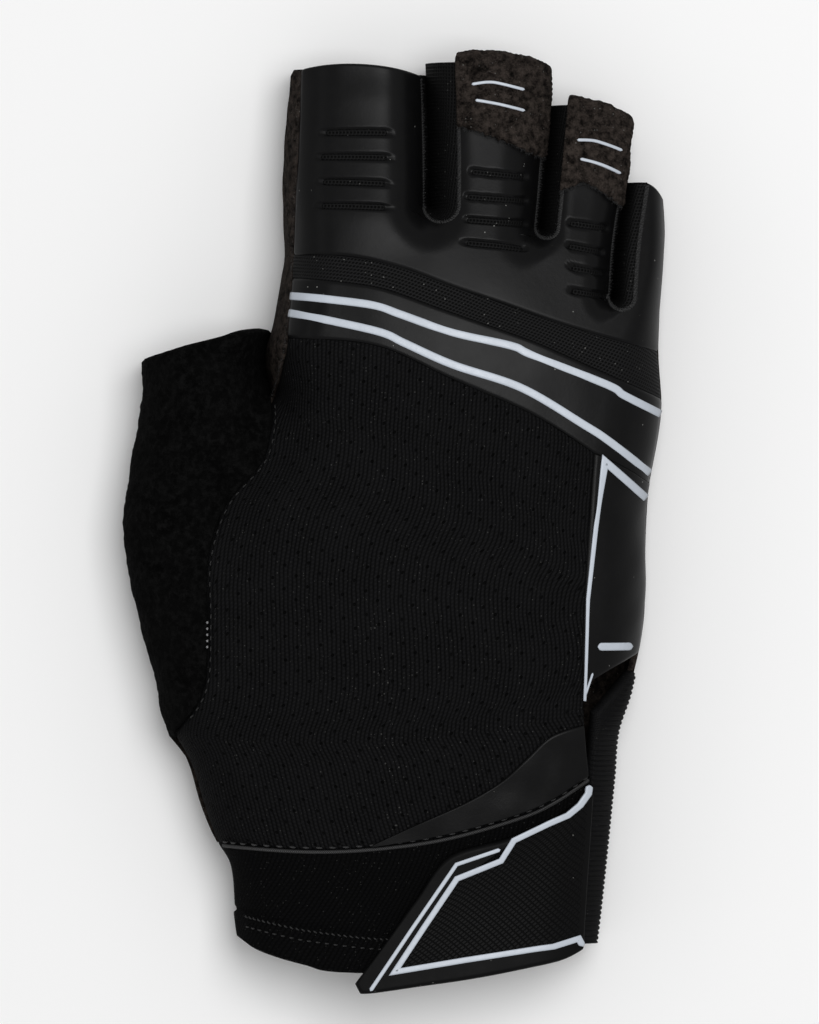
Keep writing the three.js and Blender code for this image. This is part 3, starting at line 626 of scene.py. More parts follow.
BUNCH = {
    "none": lambda share: share,
    "start": lambda share: 1 - np.cos(share * math.pi / 2),
    "end": lambda share: np.sin(share * math.pi / 2),
    "both": lambda share: (1 - np.cos(share * math.pi)) / 2,
}


def sample(curve, count, bunch="none"):
    return curve(BUNCH[bunch](np.linspace(0, 1, count + 1)))


def join(runs, fine):
    """Runs end to end: a shared end is kept once, and a gap is crossed in fine steps."""
    whole = runs[0]
    for run in runs[1:]:
        if np.allclose(whole[-1], run[0], atol=1e-6):
            whole = np.concatenate([whole, run[1:]])
        else:
            bridge = sample(line(whole[-1], run[0]), fine)
            whole = np.concatenate([whole, bridge[1:-1], run])
    return whole


def running_shares(a, b):
    steps = np.linalg.norm(np.diff(a, axis=0), axis=1) + np.linalg.norm(np.diff(b, axis=0), axis=1)
    lengths = np.concatenate([[0], np.cumsum(steps)])
    return lengths / lengths[-1]


def fill(lower, upper, left, right):
    """A grid inside four edges: the blend of both pairs of edges less that of the corners."""
    s = running_shares(lower, upper)[None, :, None]
    t = running_shares(left, right)[:, None, None]
    between = mix(left[:, None], right[:, None], s) + mix(lower[None], upper[None], t)
    corners = mix(mix(lower[0], lower[-1], s), mix(upper[0], upper[-1], s), t)
    grid = between - corners
    grid[:, 0], grid[:, -1] = left, right
    return grid


class Patch:
    """A grid laid on the glove: points, outward normals, the way in from each side, the
    pattern's place in metres, and how far the outside stands off the surface."""

    def __init__(self, points, normals):
        self.points = points
        self.normals = normals
        across = np.linalg.norm(np.diff(points, axis=1), axis=2)
        along = np.linalg.norm(np.diff(points, axis=0), axis=2)
        self.left = np.pad(np.cumsum(across, axis=1), ((0, 0), (1, 0)))
        self.lower = np.pad(np.cumsum(along, axis=0), ((1, 0), (0, 0)))
        self.right = self.left[:, -1:] - self.left
        self.upper = self.lower[-1:] - self.lower
        self.relief = np.zeros(points.shape[:2])
        middle = points.shape[1] // 2
        self.uv = np.stack([self.left - self.left[:, middle:middle + 1], self.lower], axis=-1) * MM

    @classmethod
    def laid(cls, places, on_back, lift=0.0):
        return cls(*surface(places, on_back, lift))

    def roll(self, sides, depth, width):
        """The outside sinks towards each named side by depth times a bell of the distance."""
        for name in sides:
            self.relief -= depth * bell(getattr(self, name), width)
        return self

    def round_edge(self, sides, radius):
        """The outside turns down a quarter circle over the last radius before each side."""
        for name in sides:
            rest = 1 - np.minimum(getattr(self, name) / radius, 1)
            self.relief -= radius * (1 - np.sqrt(1 - rest ** 2))
        return self

    def uneven(self, height, size, seed):
        """Soft unevenness: the mean of six plane waves in seeded directions over the surface."""
        rng = np.random.default_rng(seed)
        angles, phases = rng.uniform(0, 2 * math.pi, (2, 6))
        sizes = size * rng.uniform(0.6, 1.6, 6)
        ways = np.stack([np.cos(angles), np.sin(angles), np.cos(2 * angles)], axis=-1)
        waves = np.sin(self.points @ ways.T * 2 * math.pi / sizes + phases)
        self.relief += height * waves.mean(axis=-1)
        return self

    def swell(self, form, distance, share=1.0):
        """The outside rises by a height, or sinks where it is negative, times a bell of the
        distance over a width, both given as the form, times a share."""
        height, width = form
        self.relief += height * share * bell(distance, width)
        return self

    def clear_floor(self, most=0.0):
        """Near the floor the outside rises by no more than most."""
        low = self.points[..., 2] < FLOOR_NEAR
        self.relief = np.where(low, np.minimum(self.relief, most), self.relief)
        return self


def shell(name, patches, outer, inner, material, slot, replaces=()):
    """A closed wall: patches welded where they meet, their outside raised by outer plus relief
    and their inside by inner along the normals, and rims between both round the open edges."""
    points = np.concatenate([p.points.reshape(-1, 3) for p in patches])
    normals = np.concatenate([p.normals.reshape(-1, 3) for p in patches])
    relief = np.concatenate([p.relief.ravel() for p in patches])
    uv = np.concatenate([p.uv.reshape(-1, 2) for p in patches])
    _, first, spot = np.unique(
        np.round(points, 3), axis=0, return_index=True, return_inverse=True
    )
    spot = spot.ravel()
    count = len(first)
    normal = np.zeros((count, 3))
    np.add.at(normal, spot, normals)
    normal = unit(normal)
    raised = np.zeros(count)
    np.add.at(raised, spot, relief)
    raised /= np.bincount(spot, minlength=count)
    at = points[first]
    faces = []
    start = 0
    for patch in patches:
        rows, columns = patch.points.shape[:2]
        index = start + np.arange(rows * columns).reshape(rows, columns)
        start += rows * columns
        quads = np.stack([index[:-1, :-1], index[:-1, 1:], index[1:, 1:], index[1:, :-1]], -1)
        quads = quads.reshape(-1, 4)
        a, b, c = (points[quads[:, k]] for k in range(3))
        facing = np.einsum("ij,ij->i", np.cross(b - a, c - a), normals[quads[:, 0]])
        faces.append(quads if facing.sum() > 0 else quads[:, ::-1])
    corners = np.concatenate(faces)
    quads = spot[corners]
    ends = np.stack([quads, np.roll(quads, -1, axis=1)], axis=-1).reshape(-1, 2)
    pairs = np.stack([corners, np.roll(corners, -1, axis=1)], axis=-1).reshape(-1, 2)
    real = ends[:, 0] != ends[:, 1]
    ends, pairs = ends[real], pairs[real]
    key = ends[:, 0] * count + ends[:, 1]
    back = ends[:, 1] * count + ends[:, 0]
    open_edge = ~np.isin(key, back)
    ends, pairs = ends[open_edge], pairs[open_edge]
    rim = np.stack([ends[:, 1], ends[:, 0], ends[:, 0] + count, ends[:, 1] + count], axis=-1)
    rim_corners = np.stack([pairs[:, 1], pairs[:, 0], pairs[:, 0], pairs[:, 1]], axis=-1)
    inside = quads[:, ::-1] + count
    all_faces = np.concatenate([quads, inside, rim])
    all_corners = np.concatenate([corners, corners[:, ::-1], rim_corners])
    outside = at + normal * (outer + raised)[:, None]
    verts = np.concatenate([outside, at + normal * inner])
    add_mesh(name, verts, all_faces, uv[all_corners], material, replaces)


def add_mesh(name, verts, faces, uv, material, replaces=()):
    """Puts vertices in millimetres of the plan, quads that may have a doubled corner, and the
    corners' pattern places in metres into a mesh, and lets its object ride on the glove."""
    doubled = faces == np.roll(faces, 1, axis=1)
    keep = doubled.sum(axis=1) < 2
    faces, uv, doubled = faces[keep], uv[keep], doubled[keep]
    flat = ~doubled.ravel()
    corners = faces.ravel()[flat]
    sizes = 4 - doubled.sum(axis=1)
    mesh = bpy.data.meshes.new(name)
    mesh.vertices.add(len(verts))
    mesh.vertices.foreach_set("co", ((verts + ORIGIN) * MM).ravel())
    mesh.loops.add(len(corners))
    mesh.loops.foreach_set("vertex_index", corners.astype(np.int32))
    mesh.polygons.add(len(faces))
    mesh.polygons.foreach_set("loop_start", np.concatenate([[0], np.cumsum(sizes)[:-1]]))
    mesh.polygons.foreach_set("use_smooth", np.ones(len(faces), dtype=bool))
    mesh.update(calc_edges=True)
    layer = mesh.uv_layers.new(name="pattern")
    layer.data.foreach_set("uv", uv.reshape(-1, 2)[flat].ravel())
    mesh.validate()
    mesh.materials.append(material)
    piece = bpy.data.objects.new(name, mesh)
    bpy.context.scene.collection.objects.link(piece)
    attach(piece, "root")
    if replaces:
        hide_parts(*replaces)


# Shapes on the glove's surface


def laid_ribbon(name, path, half, outer, inner, material, slot, raised=None):
    """A flat strip along plan places: each row runs square to the path, mitred at its corners,
    half a width to both sides, and is laid on the back at two heights, with its outside raised
    by a function of the place."""
    ways = unit(np.diff(path, axis=0))
    across = np.stack([-ways[:, 1], ways[:, 0]], axis=-1)
    before = np.concatenate([across[:1], across])
    after = np.concatenate([across, across[-1:]])
    mean = unit(before + after)
    reach = half / np.maximum((mean * after).sum(axis=1), MITRE_LEAST)
    shift = mean * reach[:, None]
    grid = mix((path + shift)[:, None], (path - shift)[:, None], np.linspace(0, 1, 7)[:, None])
    patch = Patch.laid(grid, True, SEAM_LIFT).round_edge(["left", "right"], RIBBON_EDGE)
    if raised is not None:
        patch.relief += raised(grid)
    shell(name, [patch], outer, inner, material, slot)


def even_path(curve, step, corners=False):
    """Places along a curve at even steps, or along the straight runs between its points."""
    if corners:
        runs = [
            mix(a, b, np.linspace(0, 1, max(int(np.hypot(*(b - a)) / step), 1) + 1)[:, None])
            for a, b in zip(curve[:-1], curve[1:])
        ]
        return join(runs, 1)
    dense = curve(np.linspace(0, 1, 2001))
    lengths = run_lengths(dense)
    at = np.linspace(0, lengths[-1], max(int(lengths[-1] / step), 2))
    return at_lengths(at, lengths, dense)


def round_ends(path, half, least=0.02):
    """Half widths along a path that close in a half circle at both ends, down to the root of
    the least share."""
    lengths = run_lengths(path)
    end = np.minimum(lengths, lengths[-1] - lengths)
    return half * np.sqrt(np.clip(1 - (1 - np.minimum(end / half, 1)) ** 2, least, 1))


def spun(rings, around):
    """Faces of closed spindles: rings of points between two poles, as corner numbers."""
    index = np.zeros((rings, around), dtype=int)
    index[1:-1] = 1 + np.arange((rings - 2) * around).reshape(rings - 2, around)
    index[-1] = 1 + (rings - 2) * around
    turned = np.roll(index, -1, axis=1)
    return np.stack([index[:-1], index[1:], turned[1:], turned[:-1]], -1).reshape(-1, 4)


def spindles(name, centres, radii, sides, ups, material, flat, around):
    """Closed spindles, many at once: round every centre line a ring whose points turn between
    its side and its up direction at the ring's radius, up lessened by flat."""
    count, rings = centres.shape[:2]
    angle = np.linspace(0, 2 * math.pi, around, endpoint=False)[:, None]
    turn = np.cos(angle) * sides[:, :, None] + np.sin(angle) * ups[:, :, None] * flat
    points = centres[:, :, None] + turn * radii[..., None, None]
    verts = np.concatenate([
        centres[:, :1], points[:, 1:-1].reshape(count, -1, 3), centres[:, -1:],
    ], axis=1)
    faces = spun(rings, around)
    each = verts.shape[1]
    all_faces = (faces + np.arange(count)[:, None, None] * each).reshape(-1, 4)
    lengths = np.linalg.norm(np.diff(centres, axis=1), axis=2)
    along = np.concatenate([np.zeros((count, 1)), np.cumsum(lengths, axis=1)], axis=1)
    ring = np.repeat(np.arange(rings)[:, None], around, axis=1)
    turned = ring * 0 + np.arange(around)
    grid = [ring[:-1], ring[1:], ring[1:], ring[:-1]]
    turns = [turned[:-1], turned[:-1], turned[:-1] + 1, turned[:-1] + 1]
    v = along[:, np.stack(grid, -1).reshape(-1, 4)]
    u = np.stack(turns, -1).reshape(-1, 4) / around * radii.max() * 2 * math.pi
    uv = np.stack([np.broadcast_to(u, v.shape), v], axis=-1).reshape(-1, 4, 2) * MM
    add_mesh(name, verts.reshape(-1, 3), all_faces, uv, material)


def along_surface(path, height):
    """Points at a height on the back's panels along plan places, and the normals there."""
    points, normals = surface(path, True, SEAM_LIFT)
    return points + normals * height, normals


def cord_on(name, path, radius, height, material, flat):
    """A cord along plan places, closed to a point at both ends, at a height on the back."""
    centres, ups = along_surface(path, height)
    ways = unit(np.gradient(centres, axis=0))
    sides = unit(np.cross(ways, ups))
    radii = round_ends(centres, radius, 0)
    spindles(name, centres[None], radii[None], sides[None], ups[None], material, flat, 10)


def stitch_row(name, path, pitch, length, thick, height, material, slot, slant):
    """Stitches along plan places: every pitch a short thread that rises as half a sine between
    its two ends, turned from the path by slant."""
    points, normals = along_surface(path, height)
    lengths = run_lengths(points)
    count = int(lengths[-1] / pitch)
    at = (np.arange(count) + 0.5) * lengths[-1] / count
    centre = at_lengths(at, lengths, points)
    up = unit(at_lengths(at, lengths, normals))
    way = unit(at_lengths(at + STITCH_STEP, lengths, points)
               - at_lengths(at - STITCH_STEP, lengths, points))
    side = unit(np.cross(way, up))
    way = way * math.cos(slant) + side * math.sin(slant)
    side = unit(np.cross(way, up))
    t = np.linspace(0, 1, 7)
    rise = np.sin(t * math.pi) ** 0.6
    centres = centre[:, None] + way[:, None] * ((t - 0.5) * length)[:, None]
    centres = centres + up[:, None] * ((rise - 0.55) * thick)[:, None]
    radii = np.broadcast_to(thick / 2 * np.sqrt(np.sin(t * math.pi)), (count, 7))
    sides = np.broadcast_to(side[:, None], centres.shape)
    ups = np.broadcast_to(up[:, None], centres.shape)
    spindles(name, centres, radii, sides, ups, material, 0.85, 6)


def fibres(name, roots, ways, length, thick, seed, material):
    """Fine loose fibres: from every root a thin bent thread, its way and length varied from a
    seeded draw."""
    rng = np.random.default_rng(seed)
    count = len(roots)
    ways = unit(ways + rng.normal(0, 0.55, (count, 3)))
    bends = unit(np.cross(ways, rng.normal(0, 1, (count, 3))))
    t = np.linspace(0, 1, 5)
    reach = length * rng.uniform(0.35, 1.0, count)[:, None, None]
    centres = roots[:, None] + ways[:, None] * t[:, None] * reach
    centres = centres + bends[:, None] * (t ** 2)[:, None] * reach * 0.45
    radii = np.broadcast_to(thick / 2 * (1 - t * 0.7), (count, 5))
    sides = np.broadcast_to(bends[:, None], centres.shape)
    ups = np.broadcast_to(unit(np.cross(ways, bends))[:, None], centres.shape)
    spindles(name, centres, radii, sides, ups, material, 1.0, 3)


# Curves that several pieces share, and the grids of the panels

CURVES = {name: seam(name) for name in SEAMS}
SIDE_FOOT = side(thumb_side_x, CUFF_TOP, THUMB_FOOT)


def binding_share(along):
    return share_at(CURVES["binding_edge"], 1, along * GLOVE_LENGTH)


HEEL = line(SIDE_FOOT(0.0), CURVES["binding_edge"](binding_share(PALM_HEEL)))


def wrap_row(row):
    return row / (len(SEAMS["wrap_edge"]) - 1)


def thumb_seam_run(fine):
    return sample(part(CURVES["thumb_seam"], THUMB_SEAM_START, 1), SEAM_ROWS * fine)


def fan_runs(curve, fine):
    """A curve cut at the finger columns of the palm."""
    return [
        sample(part(curve, start, end), columns * fine, "both")
        for start, end, columns in PALM_FAN
    ]


def finger_edge(i, hand, outset, fine):
    tip = TIPS[FINGERS[i]][1] if hand == "left" else TIPS[FINGERS[i + 1]][0]
    return sample(slot_edge(FINGER_SLOTS[i], hand, tip, outset), FINGER_ROWS[i] * fine)


def finger_rails(starts, outsets, first, last, fine):
    """Left and right rail of each finger's column; below the crotches neighbours share one."""
    rows = len(first) - 1

    def along(i, hand):
        edge = finger_edge(i, hand, outsets[i], fine)
        shared = sample(line(starts[i], edge[0]), rows - FINGER_ROWS[i] * fine)
        return join([shared, edge], 1)

    lefts = [first] + [along(i, "right") for i in range(3)]
    rights = [along(i, "left") for i in range(3)] + [last]
    return list(zip(FINGERS, lefts, rights))


def palm_patches(fine):
    """Four finger columns from the heel to the tips, and the wrap up the index side."""
    heels = fan_runs(HEEL, fine)
    wrap_side = slot_edge("thumb_index", "right", TIPS["index"][0])
    wrap = sample(part(wrap_side, CROTCH_START, 1), WRAP_ROWS * fine)
    foot = sample(SIDE_FOOT, FOOT_ROWS * fine)
    first = join([foot, thumb_seam_run(fine)[:-fine], wrap], fine)
    crotch = SLOTS["ring_little"]["rows"][0, 0]
    inner = part(CURVES["binding_edge"], *map(binding_share, (PALM_HEEL, PALM_SIDE_START)))
    last = join([
        sample(inner, INNER_ROWS * fine),
        sample(side(little_side_x, SIDE_PANEL_END[1] - SIDE_OVERLAP, crotch), OUTER_ROWS * fine),
        sample(side(little_side_x, crotch, TIPS["little"][1]), FINGER_ROWS[2] * fine),
    ], fine)
    starts = [run[0] for run in heels[1:]]
    patches = []
    rails = finger_rails(starts, [PALM_SHOW] * 3, first, last, fine)
    for (finger, left, right), heel in zip(rails, heels):
        tip = tip_edge(left[-1], right[-1], TIPS[finger][2])
        grid = fill(heel, sample(tip, len(heel) - 1, "both"), left, right)
        patches.append(Patch.laid(grid, False))
    edge = sample(CURVES["wrap_edge"], WRAP_ROWS * fine)
    ends = (sample(line(wrap[k], edge[k]), WRAP_COLUMNS * fine, "start") for k in (0, -1))
    strip = fill(*ends, wrap, edge)
    return patches, Patch.laid(strip, True)


def knuckle_patches(fine, across):
    """The backs of the four fingers, above the mesh strip."""
    cuts = []
    for slot in FINGER_SLOTS:
        crotch = SLOTS[slot]["rows"][0, 0] * GLOVE_LENGTH
        cuts.append(share_at(CURVES["strip_top"], 0, slot_at(slot, crotch)[0]))
    first = sample(part(CURVES["wrap_edge"], wrap_row(4), 1), KNUCKLE_ROWS * fine)
    foot = SEAMS["strip_top"][-1][1]
    last = sample(side(little_side_x, foot, TIPS["little"][1]), KNUCKLE_ROWS * fine)
    outsets = [SLOTS[slot]["show"] for slot in FINGER_SLOTS]
    starts = [CURVES["strip_top"](cut) for cut in cuts]
    bounds = [0.0, *cuts, 1.0]
    patches = []
    for i, (finger, left, right) in enumerate(finger_rails(starts, outsets, first, last, fine)):
        columns = KNUCKLE_COLUMNS[i] * across
        lower = part(CURVES["strip_top"], bounds[i], bounds[i + 1])
        tip = tip_edge(left[-1], right[-1], TIPS[finger][2])
        grid = fill(sample(lower, columns, "both"), sample(tip, columns, "both"), left, right)
        patches.append(Patch.laid(grid, True, SEAM_LIFT))
    return patches


def panel_patch(lower, upper, left, right, rows, columns):
    """A panel on the back inside four curves, with even rows and columns."""
    grid = fill(
        sample(lower, columns), sample(upper, columns), sample(left, rows), sample(right, rows),
    )
    return Patch.laid(grid, True, SEAM_LIFT)


def open_panel(lower, upper, rows, columns):
    """A panel between two curves, with straight ends."""
    ends = (line(lower(share), upper(share)) for share in (0.0, 1.0))
    return panel_patch(lower, upper, *ends, rows, columns)


def path_curve(points):
    """A curve with its shares even along a run of places."""
    lengths = run_lengths(points)
    return lambda share: at_lengths(np.asarray(share) * lengths[-1], lengths, points)


# Materials


class Shade:
    """The node tree of a material or a group, with short calls that add and link its nodes."""

    def __init__(self, tree):
        self.tree = tree

    def node(self, kind, put=None, **settings):
        node = self.tree.nodes.new(kind)
        for key, value in settings.items():
            setattr(node, key, value)
        for key, value in (put or {}).items():
            self.put(node.inputs[key], value)
        return node

    def put(self, socket, value):
        if isinstance(value, bpy.types.NodeSocket):
            self.tree.links.new(value, socket)
        else:
            socket.default_value = value

    def math(self, operation, *values):
        node = self.node("ShaderNodeMath", operation=operation)
        for socket, value in zip(node.inputs, values):
            self.put(socket, value)
        return node.outputs[0]

    def times(self, a, b):
        return self.math("MULTIPLY", a, b)

    def plus(self, a, b):
        return self.math("ADD", a, b)

    def less(self, a, b):
        return self.math("SUBTRACT", a, b)

    def wave(self, run, pitch):
        """Rounded wave with a peak every pitch: the size of the sine of pi run / pitch."""
        turns = self.times(self.math("DIVIDE", run, pitch), math.pi)
        return self.math("ABSOLUTE", self.math("SINE", turns))

    def split(self, vector):
        return self.node("ShaderNodeSeparateXYZ", {"Vector": vector}).outputs

    def between(self, value, low, high, start=0.0, end=1.0):
        """Value taken from the range low to high, smoothly, to the range start to end."""
        node = self.node("ShaderNodeMapRange", interpolation_type="SMOOTHSTEP")
        for socket, given in zip(node.inputs, (value, low, high, start, end)):
            self.put(socket, given)
        return node.outputs[0]

    def noise(self, vector, size, detail, roughness=0.5):
        """Noise with features of about a size in metres, or of a socket's number of them."""
        scale = size if isinstance(size, bpy.types.NodeSocket) else 1.0 / size
        node = self.node(
            "ShaderNodeTexNoise",
            {"Vector": vector, "Scale": scale, "Detail": detail, "Roughness": roughness},
        )
        return node.outputs["Fac"]

    def blend(self, share, a, b):
        node = self.node("ShaderNodeMix", data_type="RGBA")
        self.put(node.inputs[0], share)
        self.put(node.inputs[6], a)
        self.put(node.inputs[7], b)
        return node.outputs[2]

    def tint(self, share, tone, low, high):
        """Between two strengths of one tone."""
        return self.blend(share, colour(tone, low), colour(tone, high))

    def group(self, name, **put):
        node = self.node("ShaderNodeGroup")
        node.node_tree = GROUPS[name]()
        for key, value in put.items():
            self.put(node.inputs[key], value)
        return node.outputs

    def flecks(self, place, count, limit):
        return self.group("flecks", Vector=place, Count=count, Limit=limit)[0]

    def mottle(self, place, count, spread):
        return self.group("mottle", Vector=place, Count=count, Spread=spread)[0]


GROUPS = {}


def effect(name, outputs, **defaults):
    """Keeps a shader node group that is built once, when it is first used: the function under
    it takes a Shade and the group's inputs, which are a vector and numbers with the given
    defaults, and returns a socket for each output."""
    def keep(build):
        def group():
            found = bpy.data.node_groups.get(name)
            if found:
                return found
            tree = bpy.data.node_groups.new(name, "ShaderNodeTree")
            add = tree.interface.new_socket
            add(name="Vector", in_out="INPUT", socket_type="NodeSocketVector")
            for key, value in defaults.items():
                socket = add(name=key, in_out="INPUT", socket_type="NodeSocketFloat")
                socket.default_value = value
            for key in outputs:
                add(name=key, in_out="OUTPUT", socket_type="NodeSocketFloat")
            results = build(Shade(tree), tree.nodes.new("NodeGroupInput").outputs)
            taken = tree.nodes.new("NodeGroupOutput")
            for key, socket in zip(outputs, results):
                tree.links.new(socket, taken.inputs[key])
            return tree
        GROUPS[name] = group
        return build
    return keep


@effect("mottle", ["Share"], Count=400.0, Spread=0.2)
def mottle(shade, given):
    """Blotches: broad noise with a share of noise four times finer, spread by a contrast."""
    broad = shade.noise(given["Vector"], given["Count"], 3.0, 0.6)
    finer = shade.times(given["Count"], 4.3)
    fine = shade.noise(given["Vector"], finer, 3.0, 0.7)
    both = shade.plus(shade.times(broad, 0.62), shade.times(fine, 0.38))
    low = shade.less(0.5, given["Spread"])
    high = shade.plus(0.5, given["Spread"])
    return [shade.between(both, low, high)]


@effect("flecks", ["Mask"], Count=900.0, Limit=0.9)
def flecks(shade, given):
    """Dust and painted glints: small round specks where a fine cell's own number passes a limit.
    """
    cells = shade.node("ShaderNodeTexVoronoi",
                       {"Vector": given["Vector"], "Scale": given["Count"]})
    own = shade.node("ShaderNodeSeparateColor", {"Color": cells.outputs["Color"]})
    rare = shade.math("GREATER_THAN", own.outputs[0], given["Limit"])
    size = shade.times(own.outputs[1], 0.26)
    spot = shade.math("LESS_THAN", cells.outputs["Distance"], size)
    return [shade.times(rare, spot)]


@effect("rib knit", ["Height", "Rib"], Wale=0.00095, Course=0.0008)
def rib_knit(shade, given):
    """Rib knit: rounded wales across the first direction, cut along them into small loops that
    are offset by half from one wale to the next."""
    place = shade.split(given["Vector"])
    sway = shade.noise(given["Vector"], 0.004, 2.0)
    swayed = shade.math("MULTIPLY_ADD", shade.less(sway, 0.5), 0.0006, place[0])
    wale = shade.math("DIVIDE", swayed, given["Wale"])
    across = shade.math("ABSOLUTE", shade.math("SINE", shade.times(wale, math.pi)))
    turn = shade.times(shade.math("FLOOR", wale), math.pi)
    course = shade.math("DIVIDE", place[1], given["Course"])
    loop = shade.math("SINE", shade.math("MULTIPLY_ADD", course, 2 * math.pi, turn))
    loops = shade.math("MULTIPLY_ADD", loop, 0.5, 0.5)
    rib = shade.math("POWER", across, 0.7)
    height = shade.times(rib, shade.math("MULTIPLY_ADD", loops, 0.4, 0.6))
    return [height, rib]


@effect("open net", ["Height", "Thread"], Pitch=0.0006)
def open_net(shade, given):
    """Woven net: round threads in both directions, and the square holes between them."""
    place = shade.split(given["Vector"])
    height = shade.math("MAXIMUM", *(shade.wave(place[k], given["Pitch"]) for k in (0, 1)))
    thread = shade.between(height, 0.62, 0.86)
    return [height, thread]


@effect("staggered holes", ["Mask"], Column=0.0048, Row=0.0025, Radius=0.0003)
def staggered_holes(shade, given):
    """Small round holes on a lattice whose every other row is shifted by half a pitch."""
    place = shade.split(given["Vector"])
    row = shade.math("DIVIDE", place[1], given["Row"])
    odd = shade.math("FLOORED_MODULO", shade.math("FLOOR", row), 2.0)
    column = shade.math("DIVIDE", place[0], given["Column"])
    column = shade.math("MULTIPLY_ADD", odd, 0.5, column)
    x = shade.less(shade.math("FRACT", column), 0.5)
    y = shade.less(shade.math("FRACT", row), 0.5)
    x = shade.times(x, given["Column"])
    y = shade.times(y, given["Row"])
    square = shade.plus(shade.times(x, x), shade.times(y, y))
    distance = shade.math("SQRT", square)
    inner = shade.times(given["Radius"], 0.55)
    outer = shade.times(given["Radius"], 1.25)
    return [shade.between(distance, inner, outer, 1.0, 0.0)]


@effect("diamond grain", ["Height"], Pitch=0.0011)
def diamond_grain(shade, given):
    """Small raised diamonds: the lower of two rounded waves that cross."""
    place = shade.split(given["Vector"])
    waves = []
    for way in (1.0, -1.0):
        run = shade.math("MULTIPLY_ADD", place[1], way * 1.15, place[0])
        waves.append(shade.wave(run, given["Pitch"]))
    low = shade.math("MINIMUM", waves[0], waves[1])
    return [shade.between(low, 0.0, 0.55)]


@effect("thread twist", ["Height"], Pitch=0.0007)
def thread_twist(shade, given):
    """Twisted thread: slanting rounded plies round and along a cord."""
    place = shade.split(given["Vector"])
    run = shade.plus(place[1], shade.times(place[0], 0.6))
    return [shade.wave(run, given["Pitch"])]


def material(name, paint):
    """A material built once: paint takes its Shade and the object and pattern places, and
    returns the base colour, a value with the roughness at its 0 and 1, the specular level, and
    the bump layers."""
    found = bpy.data.materials.get(name)
    if found:
        return found
    made = bpy.data.materials.new(name)
    made.use_nodes = True
    made.node_tree.nodes.clear()
    shade = Shade(made.node_tree)
    coordinates = shade.node("ShaderNodeTexCoord")
    shader = shade.node("ShaderNodeBsdfPrincipled")
    output = shade.node("ShaderNodeOutputMaterial")
    made.node_tree.links.new(shader.outputs[0], output.inputs["Surface"])
    base, rough, level, *layers = paint(
        shade, coordinates.outputs["Object"], coordinates.outputs["UV"],
    )
    shade.put(shader.inputs["Base Color"], base)
    shade.put(shader.inputs["Roughness"], shade.between(rough[0], 0.0, 1.0, *rough[1:]))
    shader.inputs["Specular IOR Level"].default_value = level
    if layers:
        shade.put(shader.inputs["Normal"], bump(shade, *layers))
    made.diffuse_color = (0.03, 0.03, 0.03, 1)
    return made


def bump(shade, *layers):
    """Bump nodes in a row: each layer is a height and how far it reaches in metres."""
    normal = None
    for height, distance in layers:
        node = shade.node("ShaderNodeBump", {"Height": height, "Distance": distance,
                                             "Strength": 1.0})
        if normal is not None:
            shade.put(node.inputs["Normal"], normal)
        normal = node.outputs[0]
    return normal


def colour(value, share=1.0):
    return (value[0] * share, value[1] * share, value[2] * share, 1.0)


def overlay_material(tones):
    """Smooth matt synthetic: faint pebble grain, slight blotches and stray dust."""
    def paint(shade, place, pattern):
        blotch = shade.mottle(place, 160.0, 0.3)
        dust_and_glint = shade.flecks(place, 1500.0, 0.985)
        grain = shade.noise(place, 0.00035, 2.0)
        base = shade.tint(blotch, tones.overlay, 0.16, 0.24)
        base = shade.blend(dust_and_glint, base, colour(tones.dust_and_glint))
        return base, (blotch, 0.31, 0.36), 0.11, (grain, 0.000012), (blotch, 0.00002)
    return material("smooth overlay", paint)


def suede_material(tones):
    """Suede: brown-black blotches, a short nap that catches light, and a fibrous grain."""
    def paint(shade, place, pattern):
        blotch = shade.mottle(place, 640.0, 0.17)
        nap = shade.noise(place, 0.00022, 4.0, 0.8)
        pale = shade.flecks(place, 1700.0, 0.85)
        base = shade.tint(blotch, tones.suede, 0.03, 1.25)
        base = shade.blend(shade.between(nap, 0.35, 0.75, 0.0, 0.5), base,
                           colour(tones.suede, 0.1))
        base = shade.blend(shade.times(pale, 0.7), base, colour(tones.dust_and_glint, 0.7))
        return base, (nap, 0.85, 1.0), 0.05, (blotch, 0.00015), (nap, 0.00025)
    return material("mottled suede", paint)


def knit_material(tones):
    """Black rib knit with small staggered holes, painted wale shade and painted fibre glints."""
    def paint(shade, place, pattern):
        rib = shade.group("rib knit", Vector=pattern, Wale=0.00095, Course=0.0009)
        holes = shade.group("staggered holes", Vector=pattern, Column=0.0052, Row=0.0026,
                            Radius=0.00034)[0]
        glint = shade.flecks(place, 1700.0, 0.66)
        tone = shade.mottle(place, 120.0, 0.25)
        # Colour follows the rib's height: painted shade in the grooves between the wales.
        base = shade.tint(rib[0], tones.knit, 0.01, 0.52)
        base = shade.blend(shade.between(tone, 0.0, 1.0, 0.0, 0.2), base,
                           colour(tones.knit, 0.8))
        # Glint, weighted by the rib: painted highlights here and there, where single fibres catch
        # light.
        lit = shade.times(glint, shade.times(rib[1], 0.35))
        # Pale specks along the back's fold: painted glints on its raised ridge, added to the
        # others.
        spot = shade.split(place)
        beside = shade.math("MULTIPLY_ADD", spot[1], 0.091, spot[0])
        beside = shade.math("ABSOLUTE", shade.plus(beside, 0.005))
        fold = shade.between(beside, 0.001, 0.0034, 1.0, 0.0)
        low = shade.between(spot[1], -0.078, -0.062)
        high = shade.between(spot[1], -0.03, -0.008, 1.0, 0.0)
        window = shade.times(low, high)
        loops = shade.flecks(place, 1250.0, 0.45)
        fold_glint = shade.times(shade.times(fold, window), loops)
        lit = shade.math("MAXIMUM", lit, shade.times(fold_glint, 0.55))
        base = shade.blend(lit, base, colour(tones.dust_and_glint, 0.4))
        base = shade.blend(holes, base, colour(tones.knit, 0.05))
        ground = shade.less(1.0, holes)
        return base, (rib[0], 0.95, 0.72), 0.06, (rib[0], 0.00026), (ground, 0.0004)
    return material("perforated knit", paint)


